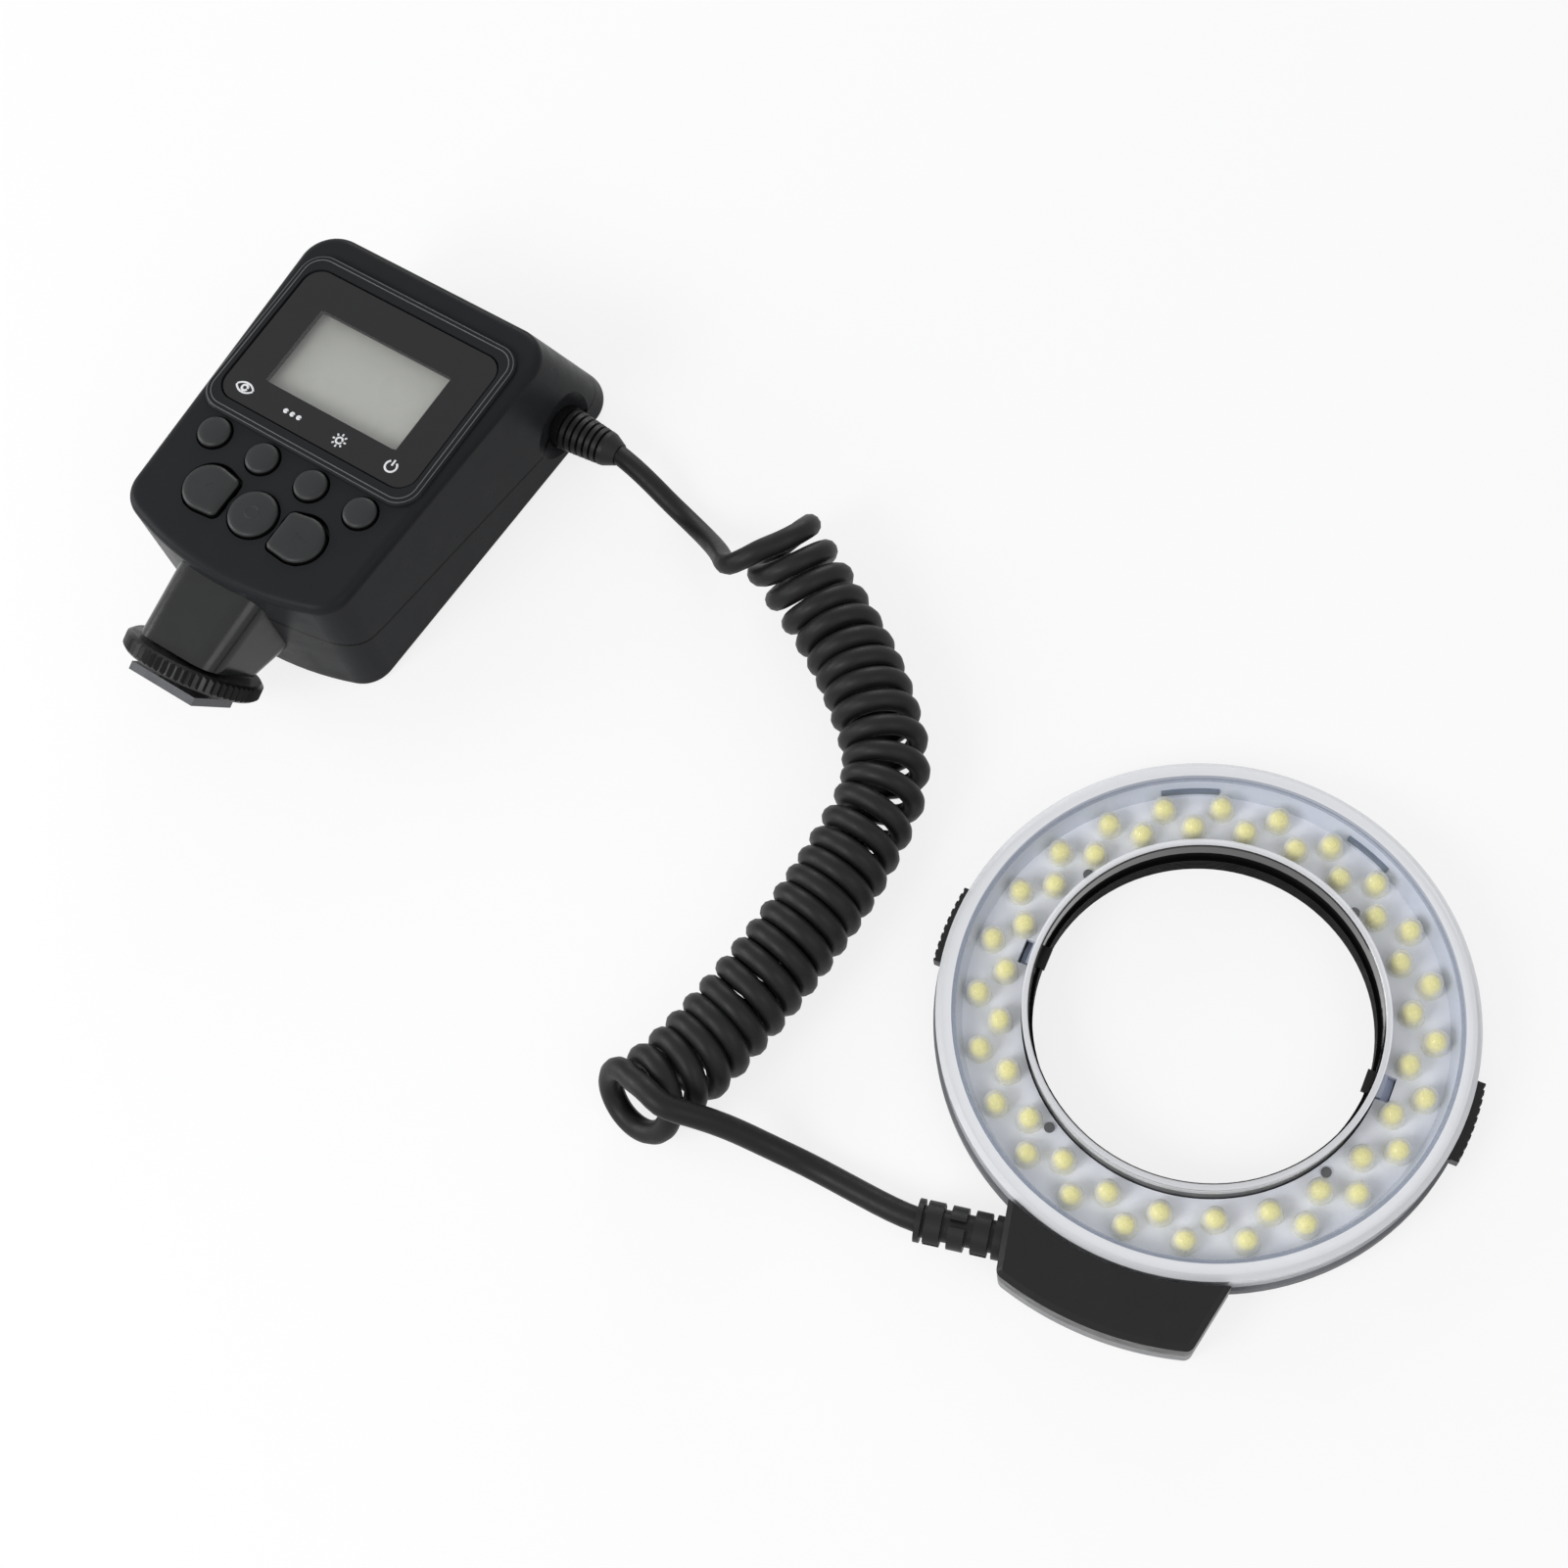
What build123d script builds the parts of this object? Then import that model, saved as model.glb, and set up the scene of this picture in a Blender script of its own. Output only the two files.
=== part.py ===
from build123d import *
import os
from math import cos, pi, radians, sin, tan

# LED ring light for close-up photography: a control box with a shoe foot, a curly cord and a
# round lamp head. All sizes are in millimetres. Both heads lie on the table at z = 0.

# Places on the table
CONTROLLER_AT = (-93.33, 82.96)
CONTROLLER_TURN = -33.0
RING_AT = (90.87, -65.74)

# Control box, in its own frame: x to the right, y up the face, z out of the face
CASE_DEPTH = 39.3
CASE_HALF_WIDTH = 33.4
CASE_FLARE = 0.044
CASE_TOP_FRONT = 30.5
CASE_TOP_BACK = 45.0
CASE_CORNER_Y = -51.0
CASE_CHIN = 6.3
CASE_TOP_RADIUS = 9.0
CASE_LOW_RADIUS = 8.0
CASE_FRONT_ROUND = 2.4
CASE_BACK_ROUND = 1.6
WALL = 2.2
BACK_WALL = 3.2
SEAM_HEIGHT = 12.0
SEAM_SLOPE = 0.13
SEAM_CURL = 16.0
CASE_SCREW_X = 24.5
CASE_SCREW_LOW = 6.0
CASE_SCREW_PITCH = 15.0
SCREW_R = 1.2
SCREW_HEAD_R = 2.7
SCREW_HEAD = 1.4
SCREW_SINK = 0.3
SCREW_GAP = 0.3
SCREW_FIT = 0.1
SCREW_REACH = 4.0
POST_R = 2.4
POST_IN = 4.0

# Display
FRAME_HALF_WIDTH = 31.0
FRAME_LOW = -22.8
FRAME_HIGH = 24.2
FRAME_RISE = 1.4
FRAME_RADIUS = 6.0
WINDOW_HALF_WIDTH = 28.2
WINDOW_LOW = -19.1
WINDOW_HIGH = 20.4
WINDOW_RADIUS = 5.0
WINDOW_THICK = 1.5
WINDOW_GAP = 0.15
WINDOW_SINK = 0.3
LCD_WIDTH = 42.0
LCD_HEIGHT = 26.0
LCD_GAP = 0.2

# Keys
KEY_RISE = 1.5
KEY_GAP = 0.35
KEY_RIM = 1.0
KEY_RIM_THICK = 0.7
KEY_CLEAR = 0.1
ROUND_KEY_R = 4.1
ROUND_KEY_Y = -27.7
ROUND_KEY_PITCH = 14.25
SET_KEY_R = 6.0
SET_KEY_Y = -40.3
ARROW_KEY_X = 13.3
ARROW_KEY_R = 6.4
BOARD_THICK = 1.6
BOARD_DROP = 2.9
MAT_THICK = 0.8
MAT_EDGE = 0.8

# Battery bay
CELL_R = 7.1
CELL_LENGTH = 49.5
CELL_NUB = 1.0
CELL_PITCH = 14.6
CELL_COUNT = 4
CELL_GAP = 0.4
CONTACT_ROOM = 2.75
CONTACT_PLATE = 0.4
BAY_TOP_Y = 33.7
BAY_WALL = 1.4
DOOR_THICK = 1.6
DOOR_SINK = 0.4
DOOR_HALF_WIDTH = 29.0
DOOR_TONGUE = 1.0
DOOR_TONGUE_THICK = 0.8
DOOR_GAP = 0.15
DOOR_RIBS = 5

# Shoe mount, in its own frame: z from the foot's under side towards the box, y towards the table
SHOE_TILT = 26.0
SHOE_Y = -78.4
SHOE_Z = 17.45
FOOT_WIDTH = 18.6
FOOT_LENGTH = 18.4
FOOT_THICK = 2.0
FOOT_CHAMFER = 2.4
NECK_R = 6.0
NECK_FIT = 0.05
STEM_WIDTH = 22.4
STEM_DEPTH = 23.0
STEM_LOW = 9.0
STEM_RADIUS = 5.5
STEM_ROOT_WIDTH = 25.0
STEM_ROOT_LOW = 8.5
STEM_ROOT_HIGH = 35.8
LOCK_R = 16.5
LOCK_THICK = 4.2
LOCK_GROOVES = 60
LOCK_GROOVE_DEPTH = 0.55
CLAMP_R = 9.2
CLAMP_THICK = 0.8
CLAMP_GAP = 0.1
INSULATOR_R = 3.6
PIN_R = 1.25
PIN_OUT = 0.4
PIN_FIT = 0.05

# Cord and its strain relief sleeves
CORD_D = 4.6
RELIEF_Y = 26.6
RELIEF_Z = 8.0
RELIEF_ROOT_X = 30.0
RELIEF_END_X = 49.0
RELIEF_ROOT_R = 5.4
RELIEF_END_R = 4.2
RELIEF_RIBS = 7
RELIEF_PLUG_R = 4.0
RELIEF_PLUG = 2.0
DISH_R = 16.0
DISH_DEPTH = 3.0

# Lamp head, centred on its bore
BORE_R = 36.0
BORE_WALL = 2.0
TUBE_HIGH = 9.0
BORE_LENGTH = 5.0
BORE_ENTRY = 0.8
BORE_STEP = 0.8
HEAD_BAND = 19.1
HEAD_FLOOR = 2.0
HEAD_WALL = 2.2
HEAD_RIM_Z = 5.6
HEAD_ROUND = 2.0
HEAD_THICK = 13.2
COVER_INSET = 0.7
COVER_LIP = 0.6
COVER_LIP_WALL = 1.4
COVER_THICK = 1.3
COVER_WALL = 1.8
COVER_ROUND = 1.2
PART_GAP = 0.15
LED_BOARD_FIT = 0.4
LED_BOARD_EDGE = 5.1
LED_BOARD_Z = 4.6
LED_R = 2.5
LED_HIGH = 5.4
LED_COUNT = 24
LED_OUTER_IN = 4.3
LED_INNER_IN = 4.5
LED_OUTER_ANGLE = 96.5
LED_INNER_ANGLE = 89.1
LED_SIDES = 8
LED_DOME = 1.4
REFLECTOR_GAP = 0.3
REFLECTOR_WALL = 0.6
REFLECTOR_FOOT = 3.4
BOARD_SCREW_IN = 1.9
BOARD_SCREW_ANGLE = 34.0
BOARD_POST_IN = 8.6
BOARD_POST_R = 1.9
BOARD_POST_TURNS = (65, 115, 245, 295)
HEAD_SCREW_ANGLES = (20, 75, 110, 200, 290)
HEAD_SCREW_IN = 4.1
HEAD_SCREW_R = 1.0
HEAD_SCREW_HEAD_R = 2.3
HEAD_SCREW_HEAD = 1.1

# Cable block on the lamp head
BLOCK_ANGLE = -113.2
BLOCK_HALF_IN = 24.5
BLOCK_HALF_OUT = 20.7
BLOCK_REACH = 13.4
BLOCK_SINK = 3.0
BLOCK_CORNER = 2.0
BLOCK_SPLIT_Z = 6.0
BLOCK_HIGH = 13.0
BLOCK_CHAMFER = 1.2
BLOCK_WALL = 1.8
SLEEVE_TURN = 166.0
SLEEVE_Z = 6.0
SLEEVE_R = 4.6
SLEEVE_NECK_R = 3.4
SLEEVE_LENGTH = 19.0
SLEEVE_OUT = 2.2
SLEEVE_IN = 1.4
SLEEVE_SINK = 1.6
SLEEVE_BLOCK = 3.4
SLEEVE_SLOT = 1.6

# Release latches of the lamp head
LATCH_ANGLE = -24.0
LATCH_TRAVEL = 1.5
LATCH_BUTTON_OUT = 1.7
LATCH_HALF_ANGLE = 9.0
LATCH_TOOTH = 1.0
LATCH_TOOTH_HALF = 2.5
LATCH_TOOTH_Z = 6.0
LATCH_TOOTH_THICK = 1.0
LATCH_RING_WIDTH = 2.6
LATCH_THICK = 0.9
LATCH_Z = (2.2, 3.4)
LATCH_CLEAR = 0.3
LATCH_BAR_HALF = 7.0
LATCH_TAB = 1.0

TUBE_R = BORE_R + BORE_WALL
HEAD_R = TUBE_R + HEAD_BAND
COVER_R = HEAD_R - COVER_INSET
COVER_LIP_R = BORE_R + COVER_LIP
LED_BOARD_IN = TUBE_R + LED_BOARD_FIT
LED_BOARD_OUT = HEAD_R - LED_BOARD_EDGE
LED_INNER_R = LED_BOARD_IN + LED_INNER_IN
LED_OUTER_R = LED_BOARD_OUT - LED_OUTER_IN
REFLECTOR_OUT = COVER_R - COVER_WALL - REFLECTOR_GAP
BLOCK_OUT_R = HEAD_R + BLOCK_REACH
LATCH_BUTTON_R = HEAD_R + LATCH_BUTTON_OUT

place_box = Pos(CONTROLLER_AT[0], CONTROLLER_AT[1], 0) * Rot(Z=CONTROLLER_TURN)
place_shoe = place_box * Pos(0, SHOE_Y, SHOE_Z) * Rot(X=SHOE_TILT - 90)
place_ring = Pos(RING_AT[0], RING_AT[1], 0)
place_sleeve = Rot(Z=BLOCK_ANGLE) * Pos(HEAD_R + SLEEVE_OUT, SLEEVE_IN - BLOCK_HALF_IN, SLEEVE_Z)
place_sleeve = place_sleeve * Rot(Z=SLEEVE_TURN - BLOCK_ANGLE) * Rot(Y=90)

FACE_IN = CASE_DEPTH - WALL
WINDOW_TOP = CASE_DEPTH + FRAME_RISE - WINDOW_SINK
WINDOW_SEAT = WINDOW_TOP - WINDOW_THICK
BOARD_TOP = FACE_IN - BOARD_DROP
BAY_LENGTH = CELL_LENGTH + CELL_NUB + 2 * CONTACT_ROOM
BAY_LOW_Y = BAY_TOP_Y - BAY_LENGTH
BAY_HALF = CELL_PITCH * CELL_COUNT / 2 + 0.1
CELL_Z = DOOR_SINK + DOOR_THICK + CELL_GAP + CELL_R
BAY_ROOF = CELL_Z + CELL_R + CELL_GAP
DOOR_TOP = DOOR_SINK + DOOR_THICK
LOCK_Z = STEM_LOW - 0.6 - LOCK_THICK


def box_between(x0, x1, y0, y1, z0, z1):
    size = Box(x1 - x0, y1 - y0, z1 - z0)
    return Pos((x0 + x1) / 2, (y0 + y1) / 2, (z0 + z1) / 2) * size


def turned(points):
    return revolve(Plane.XZ * Polygon(*points, align=None), Axis.Z)


def tube_between(r_out, r_in, z0, z1):
    return Pos(0, 0, z0) * extrude(Circle(r_out) - Circle(r_in), z1 - z0)


def rod(r, z0, z1):
    return Pos(0, 0, z0) * extrude(Circle(r), z1 - z0)


def plate(half, low, high, radius, z0, z1):
    flat = Pos(0, (low + high) / 2) * RectangleRounded(2 * half, high - low, radius)
    return Pos(0, 0, z0) * extrude(flat, z1 - z0)


# Control box

def case_outline(top, inset=0.0):
    half_top = CASE_HALF_WIDTH + CASE_FLARE * top
    half_low = CASE_HALF_WIDTH + CASE_FLARE * CASE_CORNER_Y
    a, b = (-half_top, top), (half_top, top)
    c, d = (half_low, CASE_CORNER_Y), (-half_low, CASE_CORNER_Y)
    chin = ThreePointArc(c, (0, CASE_CORNER_Y - CASE_CHIN), d)
    flat = make_face([Line(a, b), Line(b, c), chin, Line(d, a)])
    corners = flat.vertices().sort_by(Axis.Y)
    flat = fillet(corners[:2], CASE_LOW_RADIUS)
    flat = fillet(flat.vertices().sort_by(Axis.Y)[-2:], CASE_TOP_RADIUS)
    return offset(flat, -inset) if inset else flat


def case_top(z):
    return CASE_TOP_BACK + (CASE_TOP_FRONT - CASE_TOP_BACK) * z / CASE_DEPTH


def case_block(low, high, inset=0.0):
    ends = [Pos(0, 0, z) * case_outline(case_top(z), inset) for z in (low, high)]
    return loft(ends, ruled=True)


def whole_case():
    body = case_block(0, CASE_DEPTH)
    front = body.faces().sort_by(Axis.Z)[-1].edges()
    body = fillet(front, CASE_FRONT_ROUND)
    back = body.faces().sort_by(Axis.Z)[0].edges()
    return fillet(back, CASE_BACK_ROUND)


def below_seam():
    far, near, chin = CASE_TOP_BACK + 15, CASE_CORNER_Y + 11, CASE_CORNER_Y - 9
    start = (far, SEAM_HEIGHT - SEAM_SLOPE * far)
    bend = (near, SEAM_HEIGHT - SEAM_SLOPE * near)
    end = (chin, bend[1] + SEAM_CURL)
    middle = (chin + 7.5, bend[1] + 0.29 * SEAM_CURL)
    side = make_face([
        Line(start, bend),
        ThreePointArc(bend, middle, end),
        Line(end, (chin, -1)),
        Line((chin, -1), (far, -1)),
        Line((far, -1), start),
    ])
    return extrude(Plane.YZ * side, CASE_TOP_BACK, both=True)


def relief_dish():
    wall_x = CASE_HALF_WIDTH + CASE_FLARE * RELIEF_Y
    return Pos(wall_x - DISH_DEPTH + DISH_R, RELIEF_Y - 2, RELIEF_Z + 4) * Sphere(DISH_R)


def case_hollow(low):
    room = case_block(low, FACE_IN, WALL)
    solid_side = box_between(
        DOOR_HALF_WIDTH + 0.5, CASE_HALF_WIDTH + 7, RELIEF_Y - DISH_R + 1, CASE_TOP_BACK + 1,
        -1, RELIEF_Z + DISH_R + 2)
    return room - solid_side


def relief_hole():
    flange = rod(RELIEF_ROOT_R + PART_GAP, RELIEF_PLUG, 10)
    return Pos(RELIEF_ROOT_X, RELIEF_Y, RELIEF_Z) * Rot(Y=90) * (rod(RELIEF_PLUG_R, 0, 10) + flange)


def key_hole(flat):
    return Pos(0, 0, FACE_IN - 1) * extrude(offset(flat, KEY_GAP), WALL + 2)


def front_shell(case, seam):
    body = case - seam
    frame = plate(FRAME_HALF_WIDTH, FRAME_LOW, FRAME_HIGH, FRAME_RADIUS, FACE_IN, CASE_DEPTH + FRAME_RISE)
    frame = chamfer(frame.faces().sort_by(Axis.Z)[-1].edges(), 0.7)
    body = body + frame
    body = body - case_hollow(BACK_WALL)
    body = body - plate(
        WINDOW_HALF_WIDTH + WINDOW_GAP, WINDOW_LOW - WINDOW_GAP, WINDOW_HIGH + WINDOW_GAP,
        WINDOW_RADIUS, WINDOW_SEAT, CASE_DEPTH + 5)
    body = body - Pos(0, 0, FACE_IN) * Box(LCD_WIDTH + 2 * LCD_GAP, LCD_HEIGHT + 2 * LCD_GAP, 12)
    for flat in key_flats().values():
        body = body - key_hole(flat)
    for x, y in board_posts():
        body = body + Pos(x, y, BOARD_TOP) * rod(POST_R, 0, BOARD_DROP + 0.5)
    return body - bay_tray(PART_GAP) - relief_dish() - relief_hole()


def board_posts():
    x = FRAME_HALF_WIDTH - POST_IN
    high, low = FRAME_HIGH - POST_IN, FRAME_LOW + 1
    return [(-x, high), (x, high), (1 - x, low), (x - 1, low)]


def bay_tray(gap=0.0):
    side = BAY_WALL + gap
    return box_between(
        -BAY_HALF - side, BAY_HALF + side, BAY_LOW_Y - side, BAY_TOP_Y + side,
        BACK_WALL - 0.5, BAY_ROOF + side)


def rear_shell(case, seam):
    body = (case & seam) - case_hollow(BACK_WALL) + bay_tray()
    body = body - box_between(-BAY_HALF, BAY_HALF, BAY_LOW_Y, BAY_TOP_Y, BACK_WALL, BAY_ROOF)
    ledge = BAY_HALF - 1.2
    body = body - box_between(-ledge, ledge, BAY_LOW_Y, BAY_TOP_Y, 0, BACK_WALL + 1)
    slot = DOOR_HALF_WIDTH + DOOR_GAP
    groove = slot + DOOR_TONGUE
    low = BAY_LOW_Y - DOOR_GAP
    tongue_low = DOOR_TOP - DOOR_TONGUE_THICK
    body = body - box_between(-slot, slot, low, 50, -1, DOOR_TOP + DOOR_GAP)
    body = body - box_between(
        -groove, groove, low, 50, tongue_low - DOOR_GAP, DOOR_TOP + DOOR_GAP)
    for x, y in case_screw_places():
        head = rod(SCREW_HEAD_R + SCREW_GAP, -1, SCREW_SINK + SCREW_HEAD)
        body = body - Pos(x, y, 0) * (head + rod(SCREW_R + SCREW_FIT, 0, BACK_WALL + 1))
    return body - relief_dish() - relief_hole()


def case_screw_places():
    low = CASE_CORNER_Y + CASE_SCREW_LOW
    high = low + CASE_SCREW_PITCH
    return [(x, y) for x in (-CASE_SCREW_X, CASE_SCREW_X) for y in (low, high)]


def battery_door(case):
    low, high = BAY_LOW_Y, 50.0
    wide = box_between(-DOOR_HALF_WIDTH, DOOR_HALF_WIDTH, low, high, DOOR_SINK, DOOR_TOP)
    edge = DOOR_HALF_WIDTH + DOOR_TONGUE
    tongues = box_between(-edge, edge, low, high, DOOR_TOP - DOOR_TONGUE_THICK, DOOR_TOP)
    body = (wide + tongues) & case
    for i in range(DOOR_RIBS):
        body = body - Pos(0, BAY_LOW_Y + 8 + 2.4 * i, DOOR_SINK) * Box(22, 1.1, 0.9)
    return body


def battery_cells():
    cells = []
    for i in range(CELL_COUNT):
        x = CELL_PITCH * (i - (CELL_COUNT - 1) / 2)
        turn = 90 if i % 2 else -90
        y = (BAY_LOW_Y + BAY_TOP_Y) / 2
        half = (CELL_LENGTH + CELL_NUB) / 2
        cell = rod(CELL_R, -half, half - CELL_NUB) + rod(2.7, 0, half)
        cells.append(Pos(x, y, CELL_Z) * Rot(X=turn) * cell)
    return Compound(children=cells)


def battery_contacts():
    pads = []
    for i in range(CELL_COUNT):
        x = CELL_PITCH * (i - (CELL_COUNT - 1) / 2)
        for y, turn in ((BAY_LOW_Y, -90), (BAY_TOP_Y, 90)):
            pad = Box(12, 12, CONTACT_PLATE, align=(Align.CENTER, Align.CENTER, Align.MIN))
            spring = Pos(0, 0, CONTACT_PLATE) * Cone(
                4.0, 2.2, CONTACT_ROOM - CONTACT_PLATE, align=(Align.CENTER, Align.CENTER, Align.MIN))
            pads.append(Pos(x, y, CELL_Z) * Rot(X=turn) * (pad + spring))
    return Compound(children=pads)


def screw_head(r, high):
    head = rod(r, 0, high)
    for turn in (0, 90):
        head = head - Rot(Z=turn) * Box(1.3 * r, 0.3 * r, high)
    return head


def case_screws():
    screws = []
    for x, y in case_screw_places():
        screw = Pos(0, 0, SCREW_SINK) * screw_head(SCREW_HEAD_R, SCREW_HEAD)
        screw = screw + rod(SCREW_R, SCREW_SINK + SCREW_HEAD, BACK_WALL + SCREW_REACH)
        screws.append(Pos(x, y, 0) * screw)
    return Compound(children=screws)


def display_window():
    radius = WINDOW_RADIUS - WINDOW_GAP
    body = plate(WINDOW_HALF_WIDTH, WINDOW_LOW, WINDOW_HIGH, radius, WINDOW_SEAT, WINDOW_TOP)
    return chamfer(body.faces().sort_by(Axis.Z)[-1].edges(), 0.3)


def lcd_module():
    wide, high = LCD_WIDTH / 2, LCD_HEIGHT / 2
    return box_between(-wide, wide, -high, high, BOARD_TOP, WINDOW_SEAT - LCD_GAP)


def control_board():
    flat = case_outline(case_top(FACE_IN), WALL + 1.5)
    return Pos(0, 0, BOARD_TOP - BOARD_THICK) * extrude(flat, BOARD_THICK)


def button_mat():
    low, high = BOARD_TOP, BOARD_TOP + MAT_THICK
    reach = ROUND_KEY_R - MAT_EDGE
    row = 1.5 * ROUND_KEY_PITCH + ROUND_KEY_R + MAT_EDGE
    pad = ARROW_KEY_X + ARROW_KEY_R + MAT_EDGE
    pad_low = SET_KEY_Y - ARROW_KEY_R - MAT_EDGE
    body = plate(row, ROUND_KEY_Y - reach, ROUND_KEY_Y + reach, 2.0, low, high)
    return body + plate(pad, pad_low, ROUND_KEY_Y + reach, 2.0, low, high)


def arrow_flat(side):
    lobe = Pos(side * ARROW_KEY_X, SET_KEY_Y + 0.5) * Circle(ARROW_KEY_R)
    wing = Pos(side * (ARROW_KEY_X - 1.5), SET_KEY_Y) * Rectangle(9.0, 10.6)
    petal = make_hull((lobe + wing).edges())
    petal = petal - Pos(0, SET_KEY_Y) * Circle(SET_KEY_R + 1.3)
    return fillet(petal.vertices(), 1.6)


def key_flats():
    flats = {}
    for i, name in enumerate(("preview_key", "mode_key", "light_key", "power_key")):
        flats[name] = Pos(ROUND_KEY_PITCH * (i - 1.5), ROUND_KEY_Y) * Circle(ROUND_KEY_R)
    flats["set_key"] = Pos(0, SET_KEY_Y) * Circle(SET_KEY_R)
    flats["left_arrow_key"] = arrow_flat(-1)
    flats["right_arrow_key"] = arrow_flat(1)
    return flats


def key(flat):
    rim_low = FACE_IN - KEY_CLEAR - KEY_RIM_THICK
    cap_high = CASE_DEPTH + KEY_RISE - rim_low
    cap = Pos(0, 0, rim_low) * extrude(flat, cap_high)
    cap = chamfer(cap.faces().sort_by(Axis.Z)[-1].edges(), 0.6)
    rim = Pos(0, 0, rim_low) * extrude(offset(flat, KEY_RIM * 0.6), KEY_RIM_THICK)
    return cap + rim


# Shoe mount

def shoe_stem(case):
    low = RectangleRounded(STEM_WIDTH, STEM_DEPTH, STEM_RADIUS)
    low = place_box.inverse() * place_shoe * Pos(0, 0, STEM_LOW) * low
    middle = (STEM_ROOT_LOW + STEM_ROOT_HIGH) / 2
    root = RectangleRounded(STEM_ROOT_WIDTH, STEM_ROOT_HIGH - STEM_ROOT_LOW, STEM_RADIUS)
    root = Pos(0, CASE_CORNER_Y - 3, middle) * Rot(X=-90) * root
    body = loft([low, root]) - case
    socket = place_box.inverse() * place_shoe * rod(NECK_R, STEM_LOW - 1, STEM_LOW + 3)
    return body - socket


def shoe_foot():
    flat = Rectangle(FOOT_WIDTH, FOOT_LENGTH)
    lead = flat.vertices().sort_by(Axis.Y)[-2:]
    body = extrude(chamfer(lead, FOOT_CHAMFER), FOOT_THICK)
    body = body + rod(NECK_R, 0, STEM_LOW + 3)
    return body - rod(INSULATOR_R, -1, STEM_LOW)


def foot_insulator():
    body = rod(INSULATOR_R, 0, STEM_LOW)
    return body - rod(PIN_R + PIN_FIT, -1, 5) - rod(PIN_R + 0.6, 1.2, 5)


def contact_pin():
    return rod(PIN_R, -PIN_OUT, 4.2) + rod(PIN_R + 0.5, 1.3, 2.1)


def lock_ring():
    points = []
    for i in range(2 * LOCK_GROOVES):
        angle = pi * i / LOCK_GROOVES
        r = LOCK_R if i % 2 else LOCK_R - LOCK_GROOVE_DEPTH
        points.append((r * cos(angle), r * sin(angle)))
    body = extrude(Polygon(*points, align=None), LOCK_THICK)
    body = body & turned([
        (0, 0), (LOCK_R - 0.9, 0), (LOCK_R, 0.8), (LOCK_R, LOCK_THICK - 0.8),
        (LOCK_R - 0.9, LOCK_THICK), (0, LOCK_THICK)])
    return Pos(0, 0, LOCK_Z) * body - rod(NECK_R + NECK_FIT, 0, 20)


def clamp_plate():
    z = LOCK_Z - CLAMP_GAP - CLAMP_THICK
    return tube_between(CLAMP_R, NECK_R + NECK_FIT, z, z + CLAMP_THICK)


# Strain relief sleeves

def ribbed_profile(length, root_r, end_r, ribs):
    plug = RELIEF_PLUG_R - PART_GAP
    points = [(0, 0), (plug, 0), (plug, RELIEF_PLUG), (root_r, RELIEF_PLUG)]
    start, cap = 4.0, 3.0
    pitch = (length - start - cap) / ribs
    for i in range(ribs):
        z = start + pitch * i
        r = root_r + (end_r - root_r) * i / ribs
        points += [(r, z), (r - 1.1, z), (r - 1.1, z + 0.4 * pitch), (r, z + 0.4 * pitch)]
    points += [(end_r, length - cap), (CORD_D / 2 + 0.5, length), (0, length)]
    return points


def controller_relief():
    length = RELIEF_END_X - RELIEF_ROOT_X
    body = turned(ribbed_profile(length, RELIEF_ROOT_R, RELIEF_END_R, RELIEF_RIBS))
    return Pos(RELIEF_ROOT_X, RELIEF_Y, RELIEF_Z) * Rot(Y=90) * body


def ring_relief():
    body = rod(SLEEVE_NECK_R, 0, SLEEVE_LENGTH)
    body = body + rod(SLEEVE_R, 0, SLEEVE_SINK + 1.0)
    for i in range(3):
        z = SLEEVE_SINK + 2.0 + i * (SLEEVE_BLOCK + SLEEVE_SLOT)
        piece = rod(SLEEVE_R, z, z + SLEEVE_BLOCK)
        turn = 90 * (i % 2)
        slot = box_between(
            -SLEEVE_SLOT / 2, SLEEVE_SLOT / 2, SLEEVE_NECK_R - 1, SLEEVE_R + 1,
            z - 1, z + SLEEVE_BLOCK + 1)
        piece = piece - Rot(Z=turn) * slot - Rot(Z=turn + 180) * slot
        body = body + piece
    body = body + rod(SLEEVE_R, SLEEVE_LENGTH - 1.2, SLEEVE_LENGTH)
    return place_sleeve * Pos(0, 0, -SLEEVE_SINK) * body


# Lamp head

def head_housing():
    body = turned([
        (BORE_R + BORE_ENTRY, 0), (HEAD_R - HEAD_ROUND, 0), (HEAD_R, HEAD_ROUND), (HEAD_R, HEAD_RIM_Z),
        (HEAD_R - HEAD_WALL, HEAD_RIM_Z), (HEAD_R - HEAD_WALL, HEAD_FLOOR), (TUBE_R, HEAD_FLOOR),
        (TUBE_R, TUBE_HIGH), (BORE_R + BORE_STEP, TUBE_HIGH),
        (BORE_R + BORE_STEP, BORE_ENTRY + BORE_LENGTH), (BORE_R, BORE_ENTRY + BORE_LENGTH),
        (BORE_R, BORE_ENTRY)])
    half = LATCH_TOOTH_HALF + LATCH_CLEAR
    gap = LATCH_CLEAR / 2
    for angle in (LATCH_ANGLE, LATCH_ANGLE + 180):
        tooth = box_between(
            -TUBE_R - 3, -BORE_R + 4, -half, half,
            LATCH_TOOTH_Z - gap, LATCH_TOOTH_Z + LATCH_TOOTH_THICK + gap)
        body = body - Rot(Z=angle) * (tooth + latch_window())
    for place in head_screw_places():
        head = rod(HEAD_SCREW_HEAD_R + SCREW_GAP, -1, SCREW_SINK + HEAD_SCREW_HEAD)
        body = body - place * (head + rod(HEAD_SCREW_R + SCREW_FIT, 0, HEAD_FLOOR + 1))
    for turn in BOARD_POST_TURNS:
        post = tube_between(BOARD_POST_R, 0.7, HEAD_FLOOR, LED_BOARD_Z)
        body = body + Rot(Z=LATCH_ANGLE + turn) * Pos(HEAD_R - BOARD_POST_IN, 0, 0) * post
    return body


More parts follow.
